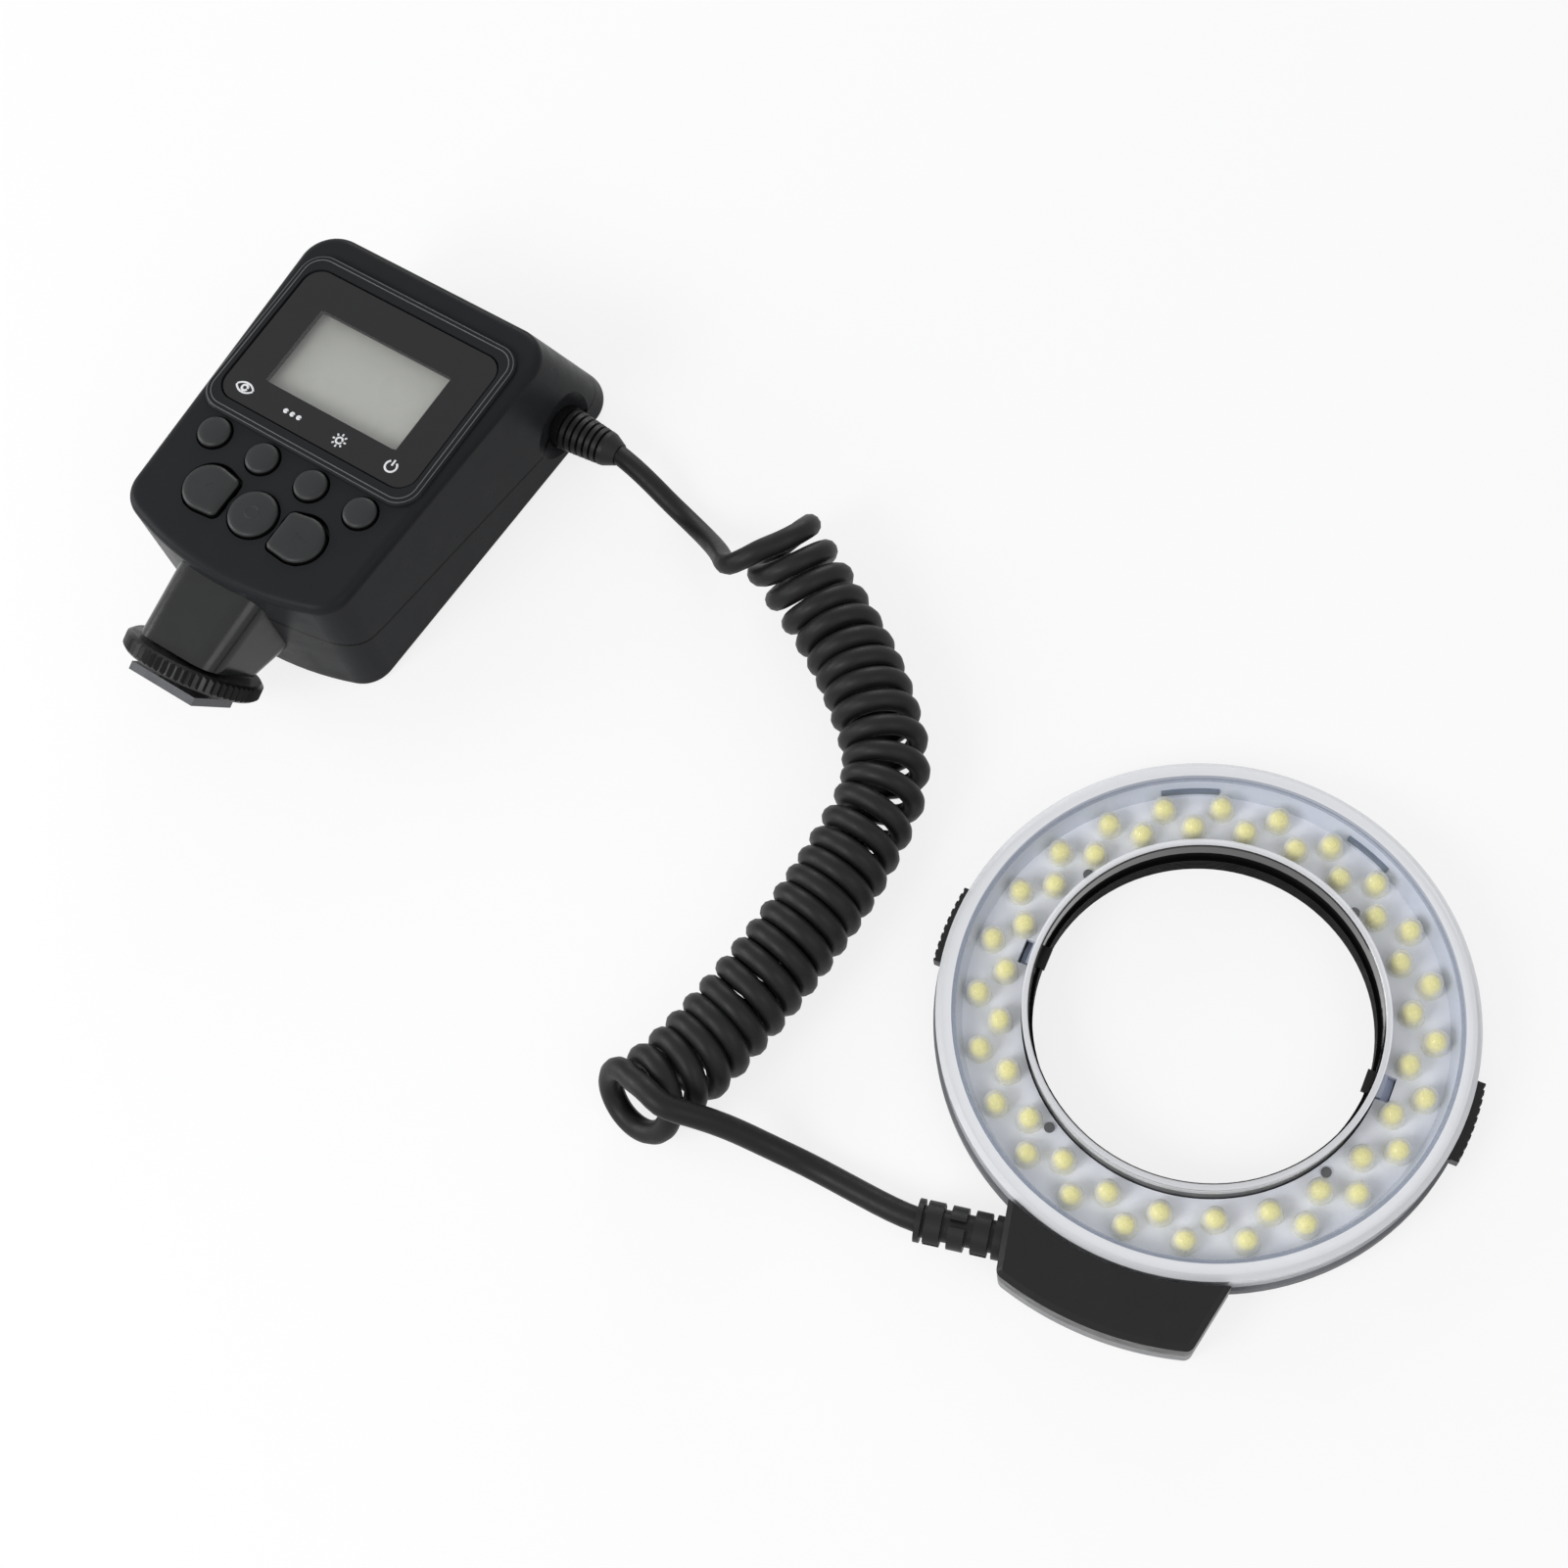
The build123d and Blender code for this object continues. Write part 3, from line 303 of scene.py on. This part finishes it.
def clear(name, tint, rough, least, most):
    """A clear moulded plastic: see-through where it is looked at squarely, paler at its edges."""
    mat = finish(name, tint, rough, vary=0.03, bump=0.03, shine=0.5)
    tree = mat.node_tree
    edge = tree.nodes.new("ShaderNodeLayerWeight")
    edge.inputs["Blend"].default_value = 0.35
    alpha = map_range(tree, edge.outputs["Facing"], (0.0, 1.0), (least, most)).outputs["Result"]
    tree.links.new(alpha, tree.nodes["Principled BSDF"].inputs["Alpha"])
    return mat


def local_point(tree, seat):
    """The shaded point in a seat's own frame, in metres."""
    place = tree.nodes.new("ShaderNodeTexCoord")
    mapping = tree.nodes.new("ShaderNodeMapping")
    back = seat.inverted()
    mapping.inputs["Location"].default_value = back.translation
    mapping.inputs["Rotation"].default_value = back.to_euler()
    tree.links.new(place.outputs["Object"], mapping.inputs["Vector"])
    split = tree.nodes.new("ShaderNodeSeparateXYZ")
    tree.links.new(mapping.outputs[0], split.inputs[0])
    return split.outputs


def from_axis(tree, seat):
    """Distance of the shaded point from a seat's z axis, in metres."""
    x, y, _ = local_point(tree, seat)
    squares = calc(tree, "ADD", calc(tree, "MULTIPLY", x, x), calc(tree, "MULTIPLY", y, y))
    return calc(tree, "SQRT", squares)


def below(tree, value, limit):
    """1 where the value is less than a number of millimetres."""
    return calc(tree, "LESS_THAN", value, limit * MM)


def above(tree, value, limit):
    return calc(tree, "GREATER_THAN", value, limit * MM)


def between(tree, value, low, high):
    return calc(tree, "MULTIPLY", above(tree, value, low), below(tree, value, high))


def recolour(tree, mask, colour):
    """Where the mask is 1 the surface takes another colour."""
    shader = tree.nodes["Principled BSDF"]
    plain = shader.inputs["Base Color"].links[0].from_socket
    mix = tree.nodes.new("ShaderNodeMix")
    mix.data_type = "RGBA"
    mix.inputs[7].default_value = (*srgb(colour), 1)
    tree.links.new(mask, mix.inputs[0])
    tree.links.new(plain, mix.inputs[6])
    tree.links.new(mix.outputs[2], shader.inputs["Base Color"])


def carve(tree, height, depth):
    """A second relief, deep by the given number of millimetres, over the grain."""
    shader = tree.nodes["Principled BSDF"]
    relief = tree.nodes.new("ShaderNodeBump")
    relief.inputs["Strength"].default_value = 0.8
    relief.inputs["Distance"].default_value = depth * MM
    tree.links.new(height, relief.inputs["Height"])
    tree.links.new(shader.inputs["Normal"].links[0].from_socket, relief.inputs["Normal"])
    tree.links.new(relief.outputs["Normal"], shader.inputs["Normal"])


def head_finish():
    """The lamp head's housing: grey outside, and dark with fine turned ridges in its bore."""
    mat = finish("head_plastic", "#77787b", 0.5, shine=0.03)
    tree = mat.node_tree
    inside = below(tree, from_axis(tree, HEAD), BORE_R)
    recolour(tree, inside, "#0b0b0c")
    turns = calc(tree, "MULTIPLY", local_point(tree, HEAD)[2], 2 * pi / (BORE_RIDGE * MM))
    carve(tree, calc(tree, "MULTIPLY", calc(tree, "SINE", turns), inside), 0.2)
    return mat


def case_finish():
    """The control box's shells, with the thin dark joint between them along its sides.

    The walls of its key holes are painted near black: painted shade.
    """
    mat = finish("shell_plastic", "#262729", 0.32, patch=22.0, vary=0.07, grain=0.3, bump=0.12,
                 shine=0.04)
    tree = mat.node_tree
    x, y, z = local_point(tree, BOX)
    straight = calc(tree, "ADD", calc(tree, "MULTIPLY", y, JOINT_SLOPE), JOINT_Z * MM)
    past = calc(tree, "MAXIMUM", calc(tree, "SUBTRACT", JOINT_BEND_Y * MM, y), 0.0)
    bend = calc(tree, "MULTIPLY", calc(tree, "POWER", past, 3.0), JOINT_BEND)
    off = calc(tree, "ABSOLUTE", calc(tree, "SUBTRACT", z, calc(tree, "ADD", straight, bend)))
    joint = below(tree, off, JOINT_HALF)
    recolour(tree, joint, "#050505")
    # Painted shade: the walls of the key holes are painted near black.
    inside = below(tree, calc(tree, "ABSOLUTE", x), HOLE_SHADE_X)
    hole_shade = calc(tree, "MULTIPLY", between(tree, z, *HOLE_SHADE_Z), inside)
    recolour(tree, calc(tree, "MULTIPLY", hole_shade, above(tree, y, HOLE_SHADE_Y)), "#050505")
    carve(tree, calc(tree, "SUBTRACT", 1.0, joint), 0.2)
    return mat


def key_finish():
    """The keys' rubber, with painted shade down their sides, in the gaps of the case."""
    mat = finish("key_rubber", "#2a2b2c", 0.42, grain=0.25, bump=0.12, shine=0.22)
    tree = mat.node_tree
    # Painted shade: the caps' sides are painted near black, where they sit in the case's holes.
    recolour(tree, below(tree, local_point(tree, BOX)[2], KEY_HIGH - KEY_SHADE_DEPTH), "#040404")
    return mat


def latch_finish():
    """The latches: black, with a pale pad where they reach up through the lamp board."""
    mat = finish("latch_plastic", "#1b1b1c", 0.36, grain=0.25, bump=0.15, shine=0.25)
    tree = mat.node_tree
    recolour(tree, between(tree, from_axis(tree, HEAD), *LATCH_PAD), "#c3cbe0")
    return mat


def cover_finish():
    """The lamp's cover: clear over the lamps, and frosted on its outer and inner rims.

    Painted shade makes its step blue-grey and its inner wall near black and opaque.
    """
    mat = clear("clear_cover", "#f6f7fa", 0.1, 0.0, 0.08)
    tree = mat.node_tree
    away = from_axis(tree, HEAD)
    # Painted shade: the step is painted blue-grey, where the cover's wall shows darker through it.
    step = between(tree, away, *COVER_STEP)
    recolour(tree, step, "#8d95a6")
    # Painted shade: inside COVER_WALL_R the cover is painted near black and made opaque, over the
    # bore.
    wall_shade = below(tree, away, COVER_WALL_R)
    recolour(tree, wall_shade, "#0f0f10")
    rims = calc(tree, "ADD", above(tree, away, COVER_STEP[1]), below(tree, away, COVER_RIM_R))
    alpha = tree.nodes["Principled BSDF"].inputs["Alpha"]
    plain = alpha.links[0].from_socket
    veil = calc(tree, "MULTIPLY", rims, COVER_FROST[1])
    veil = calc(tree, "MAXIMUM", veil, calc(tree, "MULTIPLY", step, COVER_FROST[0]))
    tree.links.new(calc(tree, "MAXIMUM", calc(tree, "MAXIMUM", plain, veil), wall_shade), alpha)
    return mat


SHELL = case_finish()
PANEL = finish("smoked_panel", "#18181a", 0.12, bump=0.02, vary=0.05, shine=0.3)
KEYS = key_finish()
STEM = finish("stem_plastic", "#1b1c1d", 0.2, grain=0.2, bump=0.03, shine=0.35)
BLACK = finish("black_plastic", "#1b1b1c", 0.36, grain=0.25, bump=0.15, shine=0.25)
LOCK = finish("lock_plastic", "#121213", 0.32, grain=0.2, bump=0.1, shine=0.15)
STEEL = finish("foot_metal", "#505154", 0.3, grain=0.15, bump=0.08, metallic=0.3)
BRASS = finish("contact_brass", "#c9a75a", 0.25, metallic=1.0)
SCREWS = finish("screw_steel", "#5c5d5f", 0.3, metallic=1.0)
RUBBER = finish("cord_rubber", "#181819", 0.46, patch=8.0, vary=0.16, grain=0.4, bump=0.1,
                shine=0.2)
RELIEF = finish("relief_rubber", "#161617", 0.45, grain=0.3, bump=0.2, shine=0.25)
BLOCK = finish("block_plastic", "#1a1a1b", 0.34, grain=0.3, bump=0.15, shine=0.22)
BLOCK_BASE = finish("block_base_plastic", "#77787a", 0.38)
CELL = finish("cell_wrap", "#b9bcc0", 0.3, metallic=0.4)
GREEN = finish("board_green", "#1f5a38", 0.4, patch=3.0, vary=0.3)
SCREEN_GREY = finish("screen_glass", "#c0c1ba", 0.3, patch=30.0, vary=0.02, bump=0.0)
PRINT = finish("panel_print", "#dcdddf", 0.5, vary=0.03)
BOARD = finish("lamp_board", "#f0f3ff", 0.45, patch=5.0, vary=0.03, grain=0.8, bump=0.1)
WHITE = finish("reflector_white", "#d3d9ea", 0.3, vary=0.04)
PHOSPHOR = finish("led_phosphor", "#fff488", 0.4, patch=2.0, vary=0.05)
EPOXY = clear("led_epoxy", "#fffffa", 0.08, 0.24, 0.95)
LATCH = latch_finish()
# Painted highlight: the frame's ribs are coloured far lighter than the case.
RIB_HIGHLIGHT = finish("frame_edge", "#5a5b5c", 0.25, vary=0.2, shine=0.5)
TAB = finish("tab_plastic", "#7a8494", 0.4)
CLEAR = cover_finish()
PANE = clear("panel_pane", "#c9cbc8", 0.05, 0.04, 0.5)
HOUSING = head_finish()

NODE_FINISH = {
    "front_shell": SHELL, "rear_shell": SHELL, "battery_door": SHELL, "battery_cells": CELL,
    "battery_contacts": STEEL, "case_screws": SCREWS, "control_board": GREEN, "button_mat": RELIEF,
    "shoe_stem": STEM, "controller_strain_relief": RELIEF, "shoe_foot": STEEL,
    "foot_insulator": BLACK, "contact_pin": BRASS, "lock_ring": LOCK, "clamp_plate": STEEL,
    "head_housing": HOUSING, "clear_cover": CLEAR, "reflector_ring": WHITE, "led_board": BOARD,
    "board_screws": SCREWS, "head_screws": SCREWS, "cable_block_base": BLOCK_BASE,
    "cable_block_cover": BLOCK, "latch_right": LATCH, "latch_left": LATCH,
    "ring_strain_relief": RELIEF, "display_window": PANEL, "lcd_module": SCREEN_GREY,
    "leds_outer": EPOXY, "leds_inner": EPOXY, "cord_lead_controller": RUBBER,
    "cord_curls": RUBBER, "cord_lead_ring": RUBBER, "preview_key": KEYS, "mode_key": KEYS,
    "light_key": KEYS, "power_key": KEYS, "set_key": KEYS, "left_arrow_key": KEYS,
    "right_arrow_key": KEYS,
}


def dress_nodes():
    """Give every node of the CAD part its material."""
    for name, mat in NODE_FINISH.items():
        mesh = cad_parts[name].data
        mesh.materials.clear()
        mesh.materials.append(mat)
        for face in mesh.polygons:
            face.material_index = 0


# Shapes: each is a list of points and a list of faces, in millimetres

def circle(r, z, sides, x=0.0, y=0.0):
    turns = [2 * pi * i / sides for i in range(sides)]
    return [(x + r * cos(turn), y + r * sin(turn), z) for turn in turns]


def loft(loops, low_cap=True, high_cap=True):
    """A skin through loops that have the same number of points."""
    n = len(loops[0])
    points = [p for loop in loops for p in loop]
    faces = []
    for k in range(len(loops) - 1):
        for i in range(n):
            a, b = k * n + i, k * n + (i + 1) % n
            faces.append((a, b, b + n, a + n))
    if low_cap:
        faces.append(tuple(reversed(range(n))))
    if high_cap:
        faces.append(tuple(range(len(points) - n, len(points))))
    return points, faces


def rounded(corners, steps=8):
    """Outline of a polygon whose corners (x, y, radius) are rounded, anticlockwise."""
    outline = []
    for i, (x, y, r) in enumerate(corners):
        here = Vector((x, y))
        before = (Vector(corners[i - 1][:2]) - here).normalized()
        after = (Vector(corners[(i + 1) % len(corners)][:2]) - here).normalized()
        half = before.angle(after) / 2
        centre = here + (before + after).normalized() * (r / sin(half))
        reach = r * cos(half) / sin(half)
        first, last = here + before * reach - centre, here + after * reach - centre
        for k in range(steps + 1):
            way = first.lerp(last, k / steps).normalized()
            outline.append(centre + way * r)
    return [(p.x, p.y) for p in outline]


def rectangle(half, low, high, r, steps=8):
    """Outline from -half to half in x and from low to high in y, with corners of radius r."""
    return rounded([(-half, low, r), (half, low, r), (half, high, r), (-half, high, r)], steps)


def dome(outline, low, high):
    """A key or pad: upright walls, a rounded edge and a slightly crowned top."""
    cx = sum(p[0] for p in outline) / len(outline)
    cy = sum(p[1] for p in outline) / len(outline)
    size = sum(Vector((x - cx, y - cy)).length for x, y in outline) / len(outline)
    loops = []
    for inset, down in ((0, high - low), (0, 1.15), (0.1, 0.75), (0.35, 0.42), (0.8, 0.22),
                        (1.6, 0.1), (0.75 * size, 0.0)):
        k = 1 - inset / size
        loops.append([(cx + (x - cx) * k, cy + (y - cy) * k, high - down) for x, y in outline])
    return loft(loops)


def wire(points, r, closed=False, sides=8, flat=1.0):
    """A thin round bar along points; flat squashes it in z."""
    points = [Vector(p) for p in points]
    loops = []
    for i, point in enumerate(points):
        before = points[i - 1] if i or closed else point
        after = points[(i + 1) % len(points)] if i < len(points) - 1 or closed else point
        way = (after - before).normalized()
        side = way.cross(Vector((0, 0, 1))).normalized()
        up = side.cross(way)
        loop = []
        for k in range(sides):
            turn = 2 * pi * k / sides
            loop.append(point + side * (r * cos(turn)) + up * (r * flat * sin(turn)))
        loops.append(loop)
    if closed:
        loops.append(loops[0])
    return loft(loops, not closed, not closed)


class Shape:
    """The points and faces of one piece, with a number for each face's material."""

    def __init__(self):
        self.points, self.faces, self.tags = [], [], []

    def add(self, shape, tag=0, place=None):
        points, faces = shape
        first = len(self.points)
        for p in points:
            self.points.append(place @ Vector(p) if place else Vector(p))
        self.faces += [[first + i for i in face] for face in faces]
        self.tags += [tag] * len(faces)
        return self


def add_piece(name, shape, seat, body, *mats, sharp=40.0):
    mesh = bpy.data.meshes.new(name)
    mesh.from_pydata([seat @ (Vector(p) * MM) for p in shape.points], [], shape.faces)
    for mat in mats:
        mesh.materials.append(mat)
    mesh.polygons.foreach_set("material_index", shape.tags)
    mesh.polygons.foreach_set("use_smooth", [True] * len(shape.faces))
    mesh.set_sharp_from_angle(angle=radians(sharp))
    piece = bpy.data.objects.new(name, mesh)
    bpy.context.scene.collection.objects.link(piece)
    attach(piece, body)
    return piece


# Control box

def add_display():
    """The smoked panel with its clear window, and the screen that lies under it."""
    outline = rectangle(PANEL_HALF, PANEL_LOW, PANEL_HIGH, PANEL_R)
    small = rectangle(PANEL_HALF - PANEL_EDGE, PANEL_LOW + PANEL_EDGE, PANEL_HIGH - PANEL_EDGE,
                      PANEL_R - PANEL_EDGE)
    middle, tall = (PANEL_LOW + PANEL_HIGH) / 2, (PANEL_HIGH - PANEL_LOW) / 2
    x0, x1, y0, y1 = *WINDOW_X, *WINDOW_Y
    low, high = PANEL_Z
    hole = []
    for x, y in outline:
        reach = max(abs(x) / PANEL_HALF, abs(y - middle) / tall)
        hole.append((x0 + (x1 - x0) * (x / reach / PANEL_HALF + 1) / 2,
                     y0 + (y1 - y0) * ((y - middle) / reach / tall + 1) / 2))
    loops = [[(x, y, z) for x, y in flat] for flat, z in (
        (hole, low), (outline, low), (outline, high - PANEL_EDGE), (small, high), (hole, high))]
    panel = Shape().add(loft(loops, False, False))
    n = len(outline)
    panel.add((loops[0], [tuple(reversed(range(n)))]), 1)
    panel.add((loops[4], [tuple(range(n))]), 1)
    piece = add_piece("window_panel", panel, BOX, "housing", PANEL, PANE, sharp=20)
    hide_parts("display_window")
    wide, narrow = rectangle(20.9, -12.9, 12.9, 0.5, 3), rectangle(20.6, -12.6, 12.6, 0.4, 3)
    low, high = SCREEN_Z
    loops = [[(x, y, z) for x, y in flat] for flat, z in (
        (wide, low), (wide, high - 0.3), (narrow, high))]
    piece = add_piece("screen", Shape().add(loft(loops)), BOX, "housing", SCREEN_GREY, sharp=20)
    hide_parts("lcd_module")


def add_frame_edge():
    """The two thin moulded ribs that run round the display's frame, coloured light: painted
    highlight.
    """
    ribs = Shape()
    for inset, z in ((0.5, 40.5), (1.5, 40.7)):
        outline = rectangle(FRAME_HALF - inset, FRAME_LOW + inset, FRAME_HIGH - inset,
                            FRAME_R - inset)
        ribs.add(wire([(x, y, z) for x, y in outline], 0.13, closed=True, flat=0.7))
    add_piece("frame_ribs", ribs, BOX, "housing", RIB_HIGHLIGHT)


def arc(x, y, r, start, end, steps=20):
    """Points of an arc on the panel, between two angles in degrees."""
    angles = [radians(start + (end - start) * i / steps) for i in range(steps + 1)]
    return [(x + r * cos(a), y + r * sin(a), SIGN_Z) for a in angles]


def stroke(x0, y0, x1, y1):
    return [(x0, y0, SIGN_Z), (x1, y1, SIGN_Z)]


def add_signs():
    """Plain signs over the four round keys: an eye, three dots, a sun and a power sign."""
    eye = Shape()
    x, y = -22.0, -14.9
    eye.add(wire(arc(x, y - 1.6, 2.9, 35, 145), 0.24, flat=0.25))
    eye.add(wire(arc(x, y + 1.6, 2.9, -145, -35), 0.24, flat=0.25))
    eye.add(wire(arc(x, y, 0.75, 0, 345), 0.3, flat=0.25))
    dots = Shape()
    for step in (-1.9, 0, 1.9):
        dots.add(wire(arc(-7.7 + step, -15.1, 0.3, 0, 345, 12), 0.36, flat=0.25))
    sun = Shape()
    x, y = 6.2, -15.2
    sun.add(wire(arc(x, y, 0.8, 0, 345), 0.24, flat=0.25))
    for i in range(8):
        a = radians(45 * i)
        ray = stroke(x + 1.25 * cos(a), y + 1.25 * sin(a), x + 1.85 * cos(a), y + 1.85 * sin(a))
        sun.add(wire(ray, 0.22, flat=0.25))
    power = Shape()
    x = 20.8
    power.add(wire(arc(x, -14.7, 1.45, 125, 415), 0.26, flat=0.25))
    power.add(wire(stroke(x, -14.5, x, -12.9), 0.26, flat=0.25))
    signs = {"eye_sign": eye, "dots_sign": dots, "sun_sign": sun, "power_sign": power}
    for name, shape in signs.items():
        add_piece(name, shape, BOX, "housing", PRINT)


def add_side_slot():
    """A small opening in the lower left corner of the control box, drawn as a black pad: painted
    shade.
    """
    turn = Vector(SLOT_WAY).to_track_quat("Z", "Y").to_matrix().to_4x4()
    seat = BOX @ shift(*SLOT_AT) @ turn
    # Painted shade: a black pad stands where the opening is.
    slot_shade = dome(rectangle(1.7, -0.45, 0.45, 0.4), -0.6, 0.1)
    add_piece("side_slot", Shape().add(slot_shade), seat, "housing", BLACK)


def petal(side):
    """Outline of an arrow key, to the left or right (side -1 or 1) of the middle key."""
    corners = [(7.4, -45.5, 1.6), (19.6, -46.7, 6.1), (19.6, -32.9, 6.1), (7.4, -35.1, 1.6)]
    if side < 0:
        corners = [(-x, y, r) for x, y, r in reversed(corners)]
    return rounded(corners, 12)


def add_key(name, outline, sign):
    shape = Shape().add(dome(outline, KEY_LOW, KEY_HIGH))
    if sign:
        shape.add(sign)
    piece = add_piece(name + "_cap", shape, BOX, name, KEYS)
    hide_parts(name)


def add_keys():
    """Four round keys, a middle key with a raised ring, and two keys with a raised arrowhead."""
    for i, name in enumerate(("preview_key", "mode_key", "light_key", "power_key")):
        add_key(name, [p[:2] for p in circle(KEY_R, 0, 40, KEY_PITCH * (i - 1.5), KEY_Y)], None)
    ring = wire(circle(1.5, KEY_HIGH - 0.02, 24, 0, SET_KEY_Y), 0.16, closed=True, flat=0.5)
    add_key("set_key", [p[:2] for p in circle(SET_KEY_R, 0, 56, 0, SET_KEY_Y)], ring)
    for name, side, angle in (("left_arrow_key", -1, 200.0), ("right_arrow_key", 1, 125.0)):
        turn, z = radians(angle), KEY_HIGH - 0.03
        x, y = ARROW_KEY[0] * side + cos(turn), ARROW_KEY[1] + sin(turn)
        ends = [(x - 2.0 * cos(turn + radians(off)), y - 2.0 * sin(turn + radians(off)), z)
                for off in (-35, 35)]
        add_key(name, petal(side), wire([ends[0], (x, y, z), ends[1]], 0.17, flat=0.5))


# Lamp head

def add_leds():
    """Domed lamps: a clear body with a yellow core under it."""
    for name, radius, first in LED_ROWS:
        row = Shape()
        body = [circle(LED_R + 0.35, BOARD_Z, 20), circle(LED_R + 0.35, BOARD_Z + 0.9, 20),
                circle(LED_R + 0.15, BOARD_Z + 1.1, 20), circle(LED_R, BOARD_Z + LED_BODY, 20)]
        for k in (18, 36, 54, 70, 82):
            r, z = LED_R * cos(radians(k)), LED_R * sin(radians(k))
            body.append(circle(r, BOARD_Z + LED_BODY + z, 20))
        core = [circle(r, BOARD_Z + z, 16) for r, z in LED_CORE]
        for i in range(LED_COUNT):
            angle = radians(first - 360 * i / LED_COUNT)
            place = Matrix.Translation((radius * cos(angle), radius * sin(angle), 0))
            row.add(loft(body, False), 0, place)
            row.add(loft(core, False), 1, place)
        piece = add_piece(name + "_lamps", row, HEAD, "housing", EPOXY, PHOSPHOR, sharp=60)
        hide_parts(name)


def add_snap_tabs():
    """The two tabs that hold the cover, seen through it at the edge of the lamp board."""
    tabs = Shape()
    for start, end in SNAP_TABS:
        loops = []
        for k in range(9):
            a = radians(start + (end - start) * k / 8)
            loops.append([(r * cos(a), r * sin(a), z) for r, z in TAB_SECTION])
        tabs.add(loft(loops))
    add_piece("snap_tabs", tabs, HEAD, "housing", TAB)


# Cord

AXIS = (
    # x, y, z of the coil's middle line at curl 0, 1.5, 4.5, 7.5 ... 25.5 and 27
    (0.6, 50.0, 16.0), (6.6, 41.0, 12.3), (16.6, 24.2, 10.2), (22.1, 9.9, 10.2), (26.4, -8.5, 10.2),
    (17.7, -26.2, 10.2), (9.7, -39.0, 10.2), (0.4, -51.8, 10.2), (-10.2, -64.5, 10.2),
    (-21.9, -77.0, 10.3), (-31.4, -83.1, 11.2),
)
LEAD_IN = (
    EXIT, (-34.8, 75.8, 8.0), (-30.2, 71.3, 6.6), (-26.0, 67.2, 4.1), (-21.2, 62.3, 2.9),
    (-16.2, 55.7, 5.2), (-12.4, 48.4, 11.3), (-10.7, 41.9, 17.4), (-5.6, 41.8, 21.2),
    (-2.0, 43.2, 22.3),
)
LEAD_OUT = (
    (-25.8, -81.4, 20.8), (-22.0, -85.6, 21.0), (-16.0, -86.6, 18.0), (-9.0, -88.0, 12.2),
    (-1.1, -90.8, 6.0), (7.2, -94.4, 3.0), (16.7, -100.1, 4.2), (25.7, -105.5, 6.0),
    (29.39, -106.93, 6.0),
)


def nurbs(name, points, resolution):
    """An open curve of one NURBS spline that ends at its first and last points."""
    curve = bpy.data.curves.new(name, "CURVE")
    curve.dimensions = "3D"
    curve.resolution_u = resolution
    spline = curve.splines.new("NURBS")
    spline.points.add(len(points) - 1)
    for point, place in zip(spline.points, points):
        point.co = (*(c * MM for c in place), 1)
    spline.order_u = 3
    spline.use_endpoint_u = True
    return bpy.data.objects.new(name, curve)


def curl_points():
    """Points of the curls, wound round the coil's middle line; the end curls lean back."""
    axis = nurbs("coil_axis", AXIS, 3 * PER_CURL)
    line = [v.co / MM for v in bpy.data.meshes.new_from_object(axis).vertices]
    bpy.data.objects.remove(axis)
    points = []
    last = len(line) - 1
    for i in range(CURLS * PER_CURL + 1):
        curl = i / PER_CURL
        at = curl / CURLS * last
        k = min(int(at), last - 1)
        middle = line[k].lerp(line[k + 1], at - k)
        way = (line[k + 1] - line[k]).to_2d().normalized()
        lean = radians(40 * max(0.0, 1 - curl / 4) - 33 * max(0.0, 1 - (CURLS - curl) / 5))
        r = CURL_R + 0.6 * max(0.0, 1 - curl / 4) + max(0.0, curl + 1 - CURLS)
        left = Vector((-way.y, way.x, 0))
        up = Vector((sin(lean) * way.x, sin(lean) * way.y, cos(lean)))
        turn = radians(FIRST_TURN) + 2 * pi * curl
        points.append(middle - left * (r * cos(turn)) + up * (r * sin(turn)))
    return points


def cord_scale(curl):
    """The cord's thickness: slimmer where the coil bends, so that the curls have room."""
    if curl < 0:
        return LEADS_SCALE[0]
    if curl > CURLS:
        return LEADS_SCALE[1]
    return CURL_SCALE - BEND_SCALE * max(0.0, 1 - abs(curl - BEND_CURL) / 4)


def add_cord():
    cord = nurbs("cord", [*LEAD_IN, *curl_points(), *LEAD_OUT], 3)
    for i, point in enumerate(cord.data.splines[0].points):
        point.radius = cord_scale((i - len(LEAD_IN)) / PER_CURL)
    cord.data.bevel_depth = CORD_D / 2 * MM
    cord.data.bevel_resolution = 4
    cord.data.use_fill_caps = True
    cord.data.materials.append(RUBBER)
    bpy.context.scene.collection.objects.link(cord)
    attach(cord, "housing")
    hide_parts("cord_lead_controller", "cord_curls", "cord_lead_ring")


add_camera()
add_cord()
for lamp in LAMPS:
    add_light(*lamp)
add_world(ROOM_LIGHT)
add_floor()
dress_nodes()
add_display()
add_frame_edge()
add_signs()
add_side_slot()
add_keys()
add_leds()
add_snap_tabs()
bpy.context.scene.view_settings.view_transform = "Standard"
